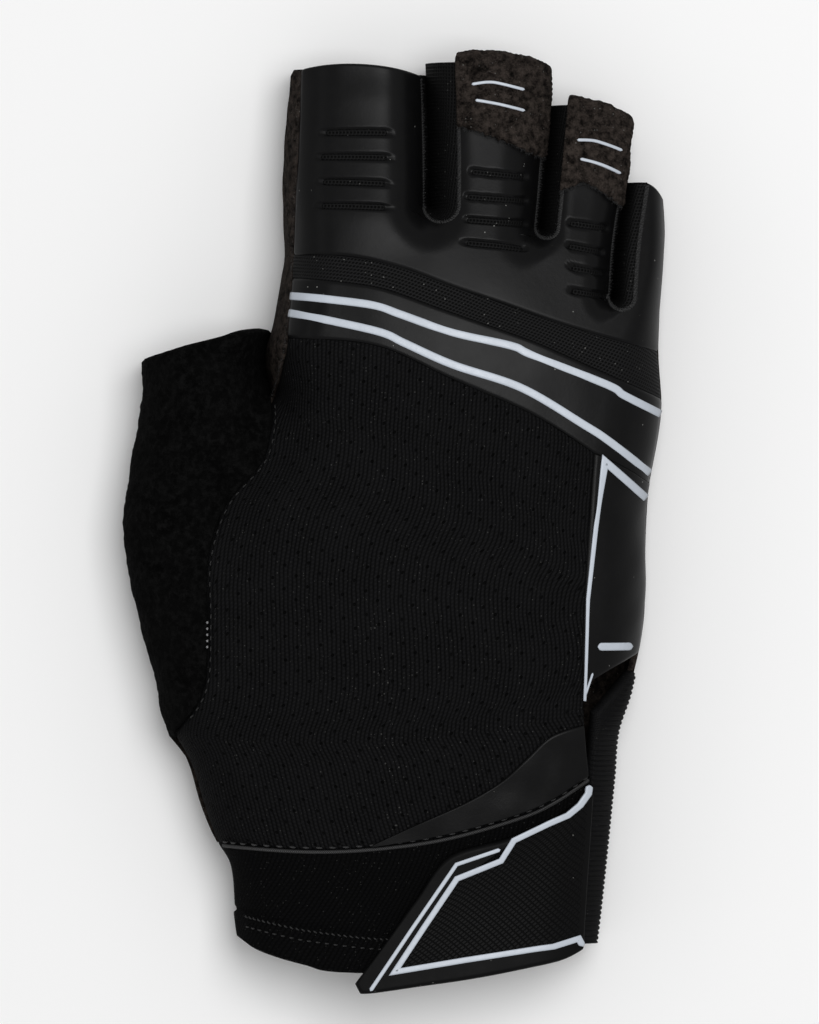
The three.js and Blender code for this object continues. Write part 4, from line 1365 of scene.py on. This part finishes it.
def cuff_material(tones):
    """Brushed knit of the cuff: fine wales under a soft nap, with painted light and shade."""
    def paint(shade, place, pattern):
        rib = shade.group("rib knit", Vector=pattern, Wale=0.0011, Course=0.0009)
        nap = shade.noise(place, 0.0004, 4.0, 0.8)
        glint = shade.flecks(place, 1700.0, 0.62)
        # Colour follows the rib's height: painted shade in the grooves between the wales.
        base = shade.tint(rib[0], tones.knit, 0.03, 0.26)
        # Lighter where the nap noise is high, the same noise as its bump: painted light on the
        # nap.
        base = shade.blend(shade.between(nap, 0.45, 0.8, 0.0, 0.6), base,
                           colour(tones.knit, 0.4))
        # Glint: painted highlights of single fibres.
        base = shade.blend(shade.times(glint, 0.3), base, colour(tones.dust_and_glint, 0.35))
        return base, (nap, 0.8, 1.0), 0.05, (rib[0], 0.0002), (nap, 0.0003)
    return material("cuff knit", paint)


def net_material(tones, name, share):
    """Coarse net of round threads over a darker ground, with painted glints and painted shade."""
    def paint(shade, place, pattern):
        net = shade.group("open net", Vector=pattern, Pitch=0.00078)
        glint = shade.flecks(place, 1500.0, 0.78)
        # Share scales the threads' colour: a low share is painted shade for nets down in gaps and
        # slots; glint marks painted highlights on single threads.
        thread = shade.blend(glint, colour(tones.knit, 0.6 * share), colour(tones.dust_and_glint, share))
        base = shade.blend(net[1], colour(tones.knit, 0.01), thread)
        return base, (net[1], 1.0, 0.6), 0.14, (net[0], 0.0003)
    return material(name, paint)


def nap_material(tones):
    """Brushed towelling: loose tufts that swallow the light, with painted light and shade."""
    def paint(shade, place, pattern):
        tufts = shade.noise(place, 0.0017, 5.0, 0.7)
        broad = shade.mottle(place, 170.0, 0.22)
        # Colour follows the tufts' height, the noise of the bump: painted shade between them,
        # painted light on their tops.
        base = shade.blend(shade.between(tufts, 0.4, 0.74), colour(tones.nap, 0.06),
                           colour(tones.nap, 0.6))
        base = shade.blend(shade.between(broad, 0.0, 1.0, 0.0, 0.35), base,
                           colour(tones.nap, 0.5))
        return base, (tufts, 0.9, 1.0), 0.04, (broad, 0.0004), (tufts, 0.0008)
    return material("towelling", paint)


def elastic_material(tones):
    """Woven elastic: fine threads along the binding, over its cross ribs."""
    def paint(shade, place, pattern):
        threads = shade.group("open net", Vector=pattern, Pitch=0.0004)
        glint = shade.flecks(place, 1500.0, 0.88)
        # Colour follows the threads' height: painted shade between them.
        base = shade.tint(threads[0], tones.knit, 0.06, 0.4)
        # Glint: painted highlights of single threads.
        base = shade.blend(shade.times(glint, 0.3), base, colour(tones.dust_and_glint, 0.4))
        return base, (threads[0], 0.9, 0.65), 0.08, (threads[0], 0.00008)
    return material("ribbed elastic", paint)


def moulded_material(tones, grained):
    """Moulded rubber, smooth on the rim and with a diamond grain in the middle."""
    def paint(shade, place, pattern):
        blotch = shade.mottle(place, 200.0, 0.3)
        dust_and_glint = shade.flecks(place, 1500.0, 0.985)
        base = shade.tint(blotch, tones.moulded, 0.13, 0.2)
        layers = [(blotch, 0.00004)]
        if grained:
            grain = shade.group("diamond grain", Vector=pattern, Pitch=0.0015)[0]
            # Darker where the grain is low: painted shade between the diamonds.
            base = shade.blend(grain, colour(tones.moulded, 0.12), base)
            layers.append((grain, 0.00022))
        base = shade.blend(dust_and_glint, base, colour(tones.dust_and_glint, 0.7))
        return base, (blotch, 0.46, 0.56), 0.08, *layers
    return material("moulded grain" if grained else "moulded rim", paint)


def film_material(tones):
    """Light transfer film: nearly even, with faint wear."""
    def paint(shade, place, pattern):
        wear = shade.mottle(place, 260.0, 0.3)
        base = shade.tint(wear, tones.film, 0.93, 1.05)
        return base, (wear, 0.42, 0.32), 0.5, (wear, 0.00005)
    return material("light film", paint)


def thread_material(tones, name, share):
    """Sewing thread with its twist."""
    def paint(shade, place, pattern):
        twist = shade.group("thread twist", Vector=pattern, Pitch=0.00045)[0]
        # Colour follows the twist's height: painted shade between the plies.
        base = shade.blend(twist, colour(tones.thread, share * 0.4), colour(tones.thread, share))
        return base, (twist, 0.7, 0.45), 0.5, (twist, 0.00012)
    return material(name, paint)


def floor_material():
    """Pale paper sweep, very slightly uneven."""
    def paint(shade, place, pattern):
        tone = shade.noise(place, 0.4, 2.0)
        return shade.tint(tone, (1.0, 1.0, 1.0), 0.95, 0.97), (tone, 0.95, 1.0), 0.1
    return material("pale floor", paint)


def recess(patch, segments, half, depth):
    """Stadium-shaped grooves: the outside sinks by depth where the plan distance to a segment
    is under half a width, with walls that lean."""
    xy = patch.points[..., :2]
    for x0, y0, x1, y1 in segments:
        start = glove_place(x0, y0)
        run = glove_place(x1, y1) - start
        t = np.clip(((xy - start) @ run) / (run @ run), 0, 1)
        distance = np.linalg.norm(xy - start - t[..., None] * run, axis=-1)
        patch.relief -= depth * smooth(half - distance, *SLOT_LEAN)


def palm_leather(sizes, tones):
    """The suede palm with its wrap up the index side."""
    patches, wrap = palm_patches(fine=5)
    for patch in patches:
        patch.uneven(height=0.25, size=16, seed=3).clear_floor().round_edge(["upper"], radius=0.6)
    wrap.roll(["right"], depth=0.35, width=0.5).uneven(height=0.35, size=5, seed=4)
    wrap.round_edge(["upper"], radius=0.6)
    shell("palm_suede", [*patches, wrap], *LEATHER_FACES, suede_material(tones), "suede",
          ["palm_panel"])
    edge = sample(part(CURVES["wrap_edge"], *FIBRE_SPAN), 400)
    points, normals = along_surface(edge, 0.0)
    rng = np.random.default_rng(11)
    pick = rng.integers(0, len(points) - 1, PALM_FIBRES)
    fibres("palm_suede_fibres", points[pick] + rng.normal(0, 0.12, (PALM_FIBRES, 3)),
           normals[pick] + np.array([-0.5, 0.0, 0.0]), length=0.5, thick=0.05, seed=12,
           material=thread_material(tones, "suede fibre", 1.2))


def index_crown(places):
    """Height in millimetres by which the index finger's back stands rounder across than the
    shared surface: a parabola across it that fades towards the knuckle and the tip."""
    across = (places[..., 0] / PALM_WIDTH - CROWN_SIDES[0]) / (CROWN_SIDES[1] - CROWN_SIDES[0])
    across = np.clip(across, 0, 1)
    along = places[..., 1] / GLOVE_LENGTH
    fade = smooth(along, *CROWN_RISE) * (1 - CROWN_LOSS * smooth(along, *CROWN_FALL))
    return CROWN_HEIGHT * 4 * across * (1 - across) * fade


def knuckle_overlay(sizes, tones):
    """Smooth overlay over the finger backs, with four recessed grip slots on three fingers."""
    patches = knuckle_patches(fine=13, across=6)
    half = sizes.slot_width / MM / 2
    for finger, patch in zip(FINGERS, patches):
        patch.uneven(height=0.16, size=22, seed=21)
        if finger in GRIP_SLOTS:
            recess(patch, GRIP_SLOTS[finger], half, SLOT_DEPTH)
        patch.round_edge(["upper"], radius=0.55).roll(["lower"], *SEAM_ROLL)
    patches[0].roll(["left"], depth=0.3, width=0.6)
    patches[0].relief += index_crown(patches[0].points)
    shell("knuckle_overlay", patches, *OVERLAY_FACES, overlay_material(tones), "overlay",
          ["knuckle_panel"])
    # The slot net takes a low share: painted shade down in the recessed slots.
    net = net_material(tones, "slot net in painted shade", 0.3)
    for finger, segments in GRIP_SLOTS.items():
        for i, (x0, y0, x1, y1) in enumerate(segments, 1):
            path = sample(line(glove_place(x0, y0), glove_place(x1, y1)), 50)
            laid_ribbon(f"grip_net_{finger}_{i}", path, round_ends(path, half), *SLOT_NET_FACES,
                        net, "mesh", raised=index_crown if finger == "index" else None)


def slot_binding(sizes, tones):
    """Overlocked edge of each finger slot: a soft cord of close thread wraps down one side,
    round the crotch and up the other."""
    thread = thread_material(tones, "overlock", 0.45)
    for i, slot in enumerate(FINGER_SLOTS):
        show = SLOTS[slot]["show"]
        down = finger_edge(i, "left", show, fine=24)[::-1]
        up = finger_edge(i, "right", show, fine=24)
        skip = [int(len(down) * TABBED_SHARE) if finger in TABBED else OPEN_SKIP
                for finger in FINGERS[i:i + 2]]
        path = np.concatenate([down[skip[0]:], up[1:len(up) - skip[1]]])
        cord_on(f"{slot}_overlock_core", path, OVERLOCK_RADIUS, height=-0.22, material=thread,
                flat=CORD_FLAT)
        stitch_row(f"{slot}_overlock", path, *OVERLOCK, thread, "knit", OVERLOCK_SLANT)
        rng = np.random.default_rng(15 + i)
        points, normals = along_surface(path, 0.1)
        pick = rng.integers(0, len(points), SLOT_FIBRES)
        roots = points[pick] + rng.normal(0, 0.15, (SLOT_FIBRES, 3))
        fibres(f"{slot}_edge_fibres", roots, normals[pick], length=0.8, thick=0.07, seed=25 + i,
               material=thread_material(tones, "loose fibre", 2.2))


def knuckle_net(sizes, tones):
    """Band of coarse net across the knuckles, a little below the overlay round it."""
    foot, top = SEAMS["strip_bottom"][-1][1], SEAMS["strip_top"][-1][1]
    patch = panel_patch(
        CURVES["strip_bottom"], CURVES["strip_top"],
        part(CURVES["wrap_edge"], wrap_row(3), wrap_row(4)), side(little_side_x, foot, top),
        rows=24, columns=200,
    )
    shell("knuckle_net", [patch], *NET_FACES, net_material(tones, "open net", 0.6), "mesh",
          ["mesh_strip"])


def stripe_panel(sizes, tones):
    """Smooth band below the net."""
    curve = join([sample(seam("band_bottom"), 400), sample(seam("side_top"), 160)], 1)
    foot, top = SEAMS["side_top"][-1][1], SEAMS["strip_bottom"][-1][1]
    patch = panel_patch(
        path_curve(curve), CURVES["strip_bottom"],
        part(CURVES["wrap_edge"], wrap_row(2), wrap_row(3)), side(little_side_x, foot, top),
        rows=40, columns=160,
    )
    patch.uneven(height=0.14, size=18, seed=31).roll(["lower", "upper", "left"], *SEAM_ROLL)
    shell("stripe_panel", [patch], *OVERLAY_FACES, overlay_material(tones), "overlay",
          ["stripe_band"])


def back_knit(sizes, tones):
    """Perforated rib knit over the back of the hand, with one soft lengthwise fold."""
    fine = 9
    foot = sample(SIDE_FOOT, BACK_FOOT_ROWS * fine)
    wrap = sample(part(CURVES["wrap_edge"], 0, wrap_row(2)), BACK_WRAP_ROWS * fine)
    left = join([foot, thumb_seam_run(fine), wrap], fine)
    columns = 160
    grid = fill(sample(CURVES["cuff_seam"], columns), sample(seam("band_bottom"), columns), left,
                sample(CURVES["side_border"], len(left) - 1))
    patch = Patch.laid(grid, True, SEAM_LIFT)
    patch.uneven(height=0.35, size=30, seed=41).roll(["left"], depth=0.5, width=0.9)
    patch.roll(["lower"], depth=0.2, width=0.6)
    corner = np.linalg.norm(patch.points[..., :2] - SIDE_FOOT(1.0), axis=-1)
    patch.swell(BACK_CORNER, corner).roll(["right"], depth=0.2, width=0.4)
    x, y = patch.points[..., 0] / PALM_WIDTH, patch.points[..., 1] / GLOVE_LENGTH
    window = smooth(y, *BACK_FOLD_RISE) * (1 - smooth(y, *BACK_FOLD_FALL))
    beside = x - BACK_FOLD_PLACE[0] + BACK_FOLD_LEAN * (y - BACK_FOLD_PLACE[1])
    patch.swell(BACK_FOLD, beside, window)
    shell("back_knit", [patch], *KNIT_FACES, knit_material(tones), "knit", ["back_panel"])


def side_overlay(sizes, tones):
    """Smooth panel down the little-finger side."""
    border = CURVES["side_border"]
    start = share_at(border, 1, SIDE_PANEL_END[0] * GLOVE_LENGTH)
    outer = side(little_side_x, SIDE_PANEL_END[1], SEAMS["side_top"][-1][1])
    patch = panel_patch(line(border(start), outer(0.0)), seam("side_top"),
                        part(border, start, 1), outer, rows=120, columns=40)
    patch.uneven(height=0.2, size=14, seed=51).roll(["left", "lower"], *SEAM_ROLL)
    shell("side_overlay", [patch], *OVERLAY_FACES, overlay_material(tones), "overlay",
          ["side_panel"])


def wrist_crescent(sizes, tones):
    """Smooth crescent over the knit above the cuff seam."""
    lower, upper = seam("patch_bottom"), seam("patch_top")
    patch = open_panel(lower, upper, rows=40, columns=150)
    patch.uneven(height=0.2, size=12, seed=61).round_edge(["upper", "left", "right"], radius=0.25)
    shell("wrist_crescent", [patch], *CRESCENT_FACES, overlay_material(tones), "overlay",
          ["wrist_patch"])


def thumb_towelling(sizes, tones):
    """Half thumb of brushed towelling, open at its tip, with a rounded edge."""
    fine = 8
    slot = slot_edge("thumb_index", "left", TIPS["thumb"][1])
    upper_side = sample(part(slot, CROTCH_START, 1), THUMB_ROWS * fine)
    right = join([thumb_seam_run(fine), upper_side], fine)
    start = THUMB_ROOT - THUMB_OVERLAP
    left = sample(side(thumb_side_x, start, TIPS["thumb"][0]), len(right) - 1)
    columns = THUMB_COLUMNS * fine
    lower = sample(line(left[0], right[0]), columns, "both")
    upper = sample(tip_edge(left[-1], right[-1], TIPS["thumb"][2]), columns, "both")
    grid = fill(lower, upper, left, right)
    patches = [Patch.laid(grid, True), Patch.laid(grid, False)]
    for patch in patches:
        patch.uneven(height=0.5, size=9, seed=71).uneven(height=0.22, size=2.2, seed=72)
        patch.round_edge(["upper"], radius=0.8)
        high = smooth(patch.points[..., 1] / GLOVE_LENGTH, *THUMB_SWELL_RISE)
        patch.swell(THUMB_SIDE_SWELL, patch.right, high).clear_floor()
    shell("thumb_towelling", patches, *NAP_FACES, nap_material(tones), "nap",
          ["thumb_sleeve"])


def finger_gussets(sizes, tones):
    """Net sidewalls between the fingers, down into each slot and round its crotch: rails that
    draw in towards the slot by a square, on the back and on the palm side."""
    for i, slot in enumerate(FINGER_SLOTS):
        patches = []
        for outset, on_back in ((SLOTS[slot]["show"], True), (PALM_SHOW, False)):
            for hand in ("left", "right"):
                rails = []
                for share in np.linspace(0, 1, GUSSET_RAILS) ** 2:
                    drawn = [(width - GUSSET_INSET) * share for width in outset]
                    rails.append(finger_edge(i, hand, drawn, fine=12))
                wall = Patch.laid(np.array(rails), on_back)
                patches.append(wall.swell(GUSSET_SWELL, wall.lower))
        # The side net takes a low share: painted shade deep between the fingers.
        shell(f"{slot}_gusset", patches, *GUSSET_FACES, net_material(tones, "side net in painted shade", 0.2),
              "mesh", [f"{slot}_sidewall"])


def suede_tab(tones, finger, before, after, seed):
    """Suede tab folded over a finger's open edge and tucked back in: each column runs up the
    back, turns a half circle over the edge and returns below, and its foot is ragged."""
    left, right, bow = TIPS[finger]
    columns, rows, turns, back = 96, 90, 18, 12
    share = np.linspace(0, 1, columns + 1)
    radius = (OVERLAY_WALL + PULL_WALL) / 2 + PULL_GAP
    rng = np.random.default_rng(seed)
    jag = np.convolve(rng.normal(0, 1, columns + 9), np.ones(3) / 3, "valid")[:columns + 1]
    feet = spline(TAB_FEET[finger])(share)[:, 1] + jag * TAB_JAG
    end = mix(left, right, share) + 4 * bow * share * (1 - share)

    def spot(along, offset, forward):
        y = along * GLOVE_LENGTH
        centre, half = slot_at(before, y)
        start = centre + half + SLOTS[before]["show"][1]
        centre, half = slot_at(after, y)
        stop = centre - half - SLOTS[after]["show"][0]
        places = np.stack([mix(start, stop, share), y], axis=-1)
        points, normals = surface(places, True, SEAM_LIFT)
        points = points + normals * (offset - OVERLAY_WALL / 2)
        points[:, 1] += forward
        return points

    face = [spot(mix(feet, end, k / rows), radius, 0.0) for k in range(rows)]
    angles = np.linspace(0, math.pi, turns + 1)
    fold = [spot(end, radius * math.cos(a), radius * math.sin(a)) for a in angles]
    tuck = end - PULL_RETURN / GLOVE_LENGTH
    inside = [spot(mix(end, tuck, (k + 1) / back), -radius, 0.0) for k in range(back)]
    points = np.array(face + fold + inside)
    across = np.gradient(points, axis=1)
    along = np.gradient(points, axis=0)
    patch = Patch(points, unit(np.cross(across, along)))
    patch.uneven(height=0.3, size=5, seed=seed + 1).uneven(height=0.16, size=1.1, seed=seed + 2)
    patch.round_edge(["left", "right"], radius=0.5).roll(["lower"], depth=0.45, width=0.5)
    patch.round_edge(["lower"], radius=0.2)
    shell(f"{finger}_suede_tab", [patch], *PULL_FACES, suede_material(tones),
          "suede", [f"{finger}_pull_tab"])
    pick = rng.integers(0, columns, TAB_FIBRES)
    roots = points[0, pick] + rng.normal(0, 0.15, (TAB_FIBRES, 3)) - np.array([0, 0, 0.2])
    ways = np.tile([0.0, -1.0, 0.1], (TAB_FIBRES, 1))
    fibres(f"{finger}_suede_tab_fibres", roots, ways, length=0.9, thick=0.07, seed=seed + 3,
           material=thread_material(tones, "suede fibre", 1.2))


def suede_tabs(sizes, tones):
    """The tabs of the middle and the ring finger."""
    suede_tab(tones, "middle", "index_middle", "middle_ring", 101)
    suede_tab(tones, "ring", "middle_ring", "ring_little", 111)


def cuff_patches(fine):
    """The cuff's back and palm side, with the binding's edge at their right."""
    rows = CUFF_ROWS * fine
    left = sample(side(thumb_side_x, WRIST_START, CUFF_TOP), rows)

    def half(upper, lower, end):
        right = sample(part(CURVES["binding_edge"], 0, binding_share(end)), rows)
        lower[0], upper[0] = left[0], left[-1]
        return fill(lower, upper, left, right)

    count = CUFF_COLUMNS * fine
    back = half(sample(CURVES["cuff_seam"], count, "start"),
                sample(CURVES["hem"], count, "start"), SEAMS["cuff_seam"][-1][1])
    heel, hem = (join(fan_runs(curve, fine), 1) for curve in (HEEL, CURVES["hem"]))
    palm = half(heel, hem, PALM_HEEL)
    return [Patch.laid(back, True), Patch.laid(palm, False)]


def cuff_knit(sizes, tones):
    """Knitted cuff whose hem is folded up: the fold's edge stands a little proud."""
    patches = cuff_patches(fine=8)
    fold = spline(plan(LINES["hem_fold"]))(np.linspace(0, 1, 400))
    for patch in patches:
        level = np.interp(patch.points[..., 0], fold[:, 0], fold[:, 1])
        over = patch.points[..., 1] - level
        patch.relief += HEM_SWELL * (1 - smooth(over, *HEM_STEP))
        patch.swell(HEM_GROOVE, over - HEM_GROOVE_PLACE)
        patch.uneven(height=0.4, size=12, seed=81).roll(["upper"], depth=0.2, width=0.5)
        patch.round_edge(["lower"], radius=0.8)
    patches[1].clear_floor()
    shell("cuff_knit", patches, *CUFF_FACES, cuff_material(tones), "knit", ["cuff"])


def elastic_binding(sizes, tones):
    """Ribbed elastic folded over the edge of the wrist opening, with rounded cross ribs."""
    rows = 420
    top = BINDING_TOP
    inner = sample(part(CURVES["binding_edge"], 0, binding_share(top[0])), rows)
    outer = sample(side(little_side_x, SEAMS["binding_edge"][0][1], top[1]), rows)
    columns = 20
    grid = fill(sample(line(inner[0], outer[0]), columns, "end"),
                sample(line(inner[-1], outer[-1]), columns, "end"), inner, outer)
    patches = [Patch.laid(grid, True), Patch.laid(grid, False)]
    for patch in patches:
        ribs = np.abs(np.sin(np.pi * patch.points[..., 1] / (sizes.rib_pitch / MM)))
        patch.relief += RIB_DEPTH * (np.sqrt(ribs) - 1)
        patch.round_edge(["left"], radius=0.9).round_edge(["upper"], radius=1.2)
        patch.clear_floor(-BINDING_STAND)
    shell("elastic_binding", patches, *BINDING_FACES, elastic_material(tones), "elastic",
          ["edge_binding"])


def strap_rubber(sizes, tones):
    """Moulded tab: a rounded rim, and inside the light line a field with diamond grain."""
    lower, upper = seam("tab_bottom"), seam("tab_top")
    patch = open_panel(lower, upper, rows=80, columns=170)
    patch.uneven(height=0.12, size=20, seed=91)
    patch.round_edge(["lower", "upper", "left", "right"], radius=0.9)
    shell("strap_rubber", [patch], *STRAP_FACES, moulded_material(tones, False),
          "moulded", ["strap_tab"])
    outline = plan(LINES["tab_line"])
    left = path_curve(outline[[7, 6, 5]])
    right = line(outline[10], outline[1])
    field = panel_patch(
        path_curve(outline[[7, 8, 9, 10]]), path_curve(outline[[5, 4, 3, 2, 1]]), left, right,
        rows=60, columns=140,
    ).uneven(height=0.12, size=20, seed=91)
    shell("strap_grain", [field], *GRAIN_FACES, moulded_material(tones, True), "moulded")


def light_lines(sizes, tones):
    """Light film lines: the two stripes, the side panel's outline, and those on the tabs."""
    film = film_material(tones)
    stripe = sizes.stripe_width / MM / 2
    for name in ("upper_stripe", "lower_stripe"):
        path = even_path(spline(plan(LINES[name])), step=0.5)
        laid_ribbon(name, path, np.full(len(path), stripe), *FILM_FACES, film, "overlay")
    path = even_path(plan(LINES["side_outline"]), step=0.4, corners=True)
    lengths = run_lengths(path)
    half = mix(*OUTLINE_HALVES, smooth(lengths, *OUTLINE_FIRST))
    half = half * mix(1, OUTLINE_LEFT, smooth(lengths, *OUTLINE_LATER))
    laid_ribbon("side_outline", path, half, *FILM_FACES, film, "overlay")
    for name, (half, *faces) in LINE_FORMS.items():
        path = even_path(plan(LINES[name]), step=0.35, corners=True)
        laid_ribbon(name, path, round_ends(path, half), *faces, film, "overlay")
    half, *faces = PULL_LINE
    for name in ("middle_tab_upper", "middle_tab_lower", "ring_tab_upper", "ring_tab_lower"):
        path = even_path(spline(plan(LINES[name])), step=0.25)
        laid_ribbon(name, path, round_ends(path, half), *faces, film, "overlay")


def stitches(sizes, tones):
    """Rows of stitches: along the cuff seam, the hem's fold and the thumb seam."""
    dark = thread_material(tones, "dark thread", 0.6)
    path = even_path(part(CURVES["cuff_seam"], 0.012, 0.99), step=0.3)
    pitch = sizes.stitch_pitch / MM
    stitch_row("cuff_seam_stitches", path + [0, 0.45], pitch, length=pitch * 0.62, thick=0.5,
               height=0.05, material=dark, slot="knit", slant=0.12)
    cord_on("cuff_seam_cord", path - [0, 0.5], CUFF_CORD_RADIUS, height=-0.05, material=dark,
            flat=CORD_FLAT)
    curves = {"hem_fold": spline(plan(LINES["hem_fold"])), "thumb_seam": CURVES["thumb_seam"]}
    for name, (curve, span, step, shift, row, thread, share, slant) in STITCHES.items():
        path = even_path(part(curves[curve], *span), step) + shift
        stitch_row(name, path, *row, thread_material(tones, thread, share), "knit", slant)


def soft_light(name, place, turn, size, power):
    """A soft light with a rectangular face of a size in metres and a power in watts."""
    data = bpy.data.lights.new(name, "AREA")
    data.shape = "RECTANGLE"
    data.size, data.size_y = size
    data.energy = power
    light = bpy.data.objects.new(name, data)
    light.location = place
    light.rotation_euler = turn
    bpy.context.scene.collection.objects.link(light)


def stage(sizes, tones):
    """Pale floor, soft studio light and the camera straight above the glove."""
    corners = [(-FLOOR_HALF, -FLOOR_HALF), (FLOOR_HALF, -FLOOR_HALF),
               (FLOOR_HALF, FLOOR_HALF), (-FLOOR_HALF, FLOOR_HALF)]
    mesh = bpy.data.meshes.new("floor")
    mesh.from_pydata([(x, y, -FLOOR_DROP) for x, y in corners], [], [(0, 1, 2, 3)])
    mesh.materials.append(floor_material())
    floor = bpy.data.objects.new("floor", mesh)
    bpy.context.scene.collection.objects.link(floor)
    floor.visible_glossy = False
    floor.visible_diffuse = False
    for name, settings in LIGHTS.items():
        soft_light(name, *settings)
    world = bpy.context.scene.world or bpy.data.worlds.new("studio")
    bpy.context.scene.world = world
    world.use_nodes = True
    background = world.node_tree.nodes.get("Background")
    background.inputs["Color"].default_value = (1.0, 1.0, 1.0, 1.0)
    background.inputs["Strength"].default_value = WORLD_STRENGTH
    bpy.context.scene.view_settings.view_transform = "Standard"
    data = bpy.data.cameras.new("camera")
    data.sensor_fit = "VERTICAL"
    data.sensor_height = SENSOR_HEIGHT
    data.lens = CAMERA_DISTANCE * SENSOR_HEIGHT / VIEW_HEIGHT
    data.clip_end = 20.0
    camera = bpy.data.objects.new("camera", data)
    camera.location = (*CAMERA_PLACE, CAMERA_DISTANCE + SEAM_HEIGHT * MM)
    bpy.context.scene.collection.objects.link(camera)
    bpy.context.scene.camera = camera


# The add-on: settings, operators and the panel


def record_tone(slot):
    """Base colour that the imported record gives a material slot."""
    for entry in frame["record"]["materials"]:
        if entry["slot"] == slot:
            return tuple(entry["base_color"])
    raise ValueError(f"the record has no material slot {slot}")


def tone_property(name, description, default):
    return FloatVectorProperty(name=name, description=description, default=default, size=3,
                               min=0.0, max=1.0, subtype="COLOR")


def width_property(name, description, default, low, high):
    return FloatProperty(name=name, description=description, default=default, min=low, max=high,
                         unit="LENGTH", precision=4)


class GloveSizes(bpy.types.PropertyGroup):
    """Sizes of the trim."""

    stripe_width: width_property("Stripe width", "Width of the two light stripes",
                                 0.0017, 0.0005, 0.004)
    slot_width: width_property("Grip slot width", "Width of the recessed slots on the fingers",
                               0.0016, 0.0006, 0.003)
    stitch_pitch: width_property("Stitch pitch", "Way from stitch to stitch along the cuff seam",
                                 0.0029, 0.0012, 0.006)
    rib_pitch: width_property("Elastic rib pitch", "Way from rib to rib along the binding",
                              0.0011, 0.0006, 0.003)


class GloveTones(bpy.types.PropertyGroup):
    """Colours of the finishes."""

    suede: tone_property("Suede", "Suede of the palm and the tabs", record_tone("suede"))
    overlay: tone_property("Overlay", "Smooth synthetic panels", record_tone("overlay"))
    knit: tone_property("Knit", "Knit, net and elastic", record_tone("knit"))
    nap: tone_property("Towelling", "Napped thumb", record_tone("nap"))
    moulded: tone_property("Rubber", "Moulded closure tab", record_tone("moulded"))
    film: tone_property("Film", "Light stripes and outlines", (0.52, 0.565, 0.63))
    thread: tone_property("Thread", "Sewing thread", (0.035, 0.035, 0.036))
    # Dust specks and the painted glints on the knits, net and elastic share this tone.
    dust_and_glint: tone_property("Dust", "Stray dust and glinting fibres", (0.22, 0.22, 0.21))


class GloveSettings(bpy.types.PropertyGroup):
    """All settings of the glove."""

    sizes: PointerProperty(type=GloveSizes)
    tones: PointerProperty(type=GloveTones)


class PieceOperator:
    """Builds its pieces from the scene's settings."""

    bl_options = {"REGISTER", "UNDO"}

    def execute(self, context):
        settings = context.scene.glove
        for build in self.builds:
            build(settings.sizes, settings.tones)
        return {"FINISHED"}


class GLOVE_OT_palm(PieceOperator, bpy.types.Operator):
    """Build the suede palm"""

    bl_idname = "glove.palm"
    bl_label = "Palm"
    builds = (palm_leather,)


class GLOVE_OT_knuckles(PieceOperator, bpy.types.Operator):
    """Build the overlay on the fingers with its slots and bound edges"""

    bl_idname = "glove.knuckles"
    bl_label = "Knuckle overlay"
    builds = (knuckle_overlay, slot_binding)


class GLOVE_OT_back(PieceOperator, bpy.types.Operator):
    """Build the panels over the back of the hand"""

    bl_idname = "glove.back"
    bl_label = "Back panels"
    builds = (knuckle_net, stripe_panel, back_knit, side_overlay, wrist_crescent)


class GLOVE_OT_thumb(PieceOperator, bpy.types.Operator):
    """Build the napped thumb"""

    bl_idname = "glove.thumb"
    bl_label = "Thumb"
    builds = (thumb_towelling,)


class GLOVE_OT_gussets(PieceOperator, bpy.types.Operator):
    """Build the net between the fingers"""

    bl_idname = "glove.gussets"
    bl_label = "Finger gussets"
    builds = (finger_gussets,)


class GLOVE_OT_tabs(PieceOperator, bpy.types.Operator):
    """Build the two suede tabs on the fingertips"""

    bl_idname = "glove.tabs"
    bl_label = "Suede tabs"
    builds = (suede_tabs,)


class GLOVE_OT_wrist(PieceOperator, bpy.types.Operator):
    """Build the cuff, its elastic binding and the closure tab"""

    bl_idname = "glove.wrist"
    bl_label = "Wrist"
    builds = (cuff_knit, elastic_binding, strap_rubber)


class GLOVE_OT_trim(PieceOperator, bpy.types.Operator):
    """Lay the light lines and the stitches"""

    bl_idname = "glove.trim"
    bl_label = "Lines and stitches"
    builds = (light_lines, stitches)


class GLOVE_OT_stage(PieceOperator, bpy.types.Operator):
    """Set up the floor, the light and the camera"""

    bl_idname = "glove.stage"
    bl_label = "Stage"
    builds = (stage,)


OPERATORS = (
    GLOVE_OT_palm, GLOVE_OT_knuckles, GLOVE_OT_back, GLOVE_OT_thumb, GLOVE_OT_gussets,
    GLOVE_OT_tabs, GLOVE_OT_wrist, GLOVE_OT_trim, GLOVE_OT_stage,
)


class GLOVE_PT_panel(bpy.types.Panel):
    """Settings and builders of the glove"""

    bl_idname = "GLOVE_PT_panel"
    bl_label = "Glove"
    bl_space_type = "VIEW_3D"
    bl_region_type = "UI"
    bl_category = "Glove"

    def draw(self, context):
        settings = context.scene.glove
        for group in (settings.sizes, settings.tones):
            column = self.layout.column(align=True)
            for name in group.__annotations__:
                column.prop(group, name)
        column = self.layout.column(align=True)
        for operator in OPERATORS:
            column.operator(operator.bl_idname)


CLASSES = (GloveSizes, GloveTones, GloveSettings, *OPERATORS, GLOVE_PT_panel)


def register():
    for cls in CLASSES:
        bpy.utils.register_class(cls)
    bpy.types.Scene.glove = PointerProperty(type=GloveSettings)


def unregister():
    del bpy.types.Scene.glove
    for cls in reversed(CLASSES):
        bpy.utils.unregister_class(cls)


def main():
    register()
    bpy.ops.glove.palm()
    bpy.ops.glove.knuckles()
    bpy.ops.glove.back()
    bpy.ops.glove.thumb()
    bpy.ops.glove.gussets()
    bpy.ops.glove.tabs()
    bpy.ops.glove.wrist()
    bpy.ops.glove.trim()
    bpy.ops.glove.stage()


if __name__ == "__main__":
    main()
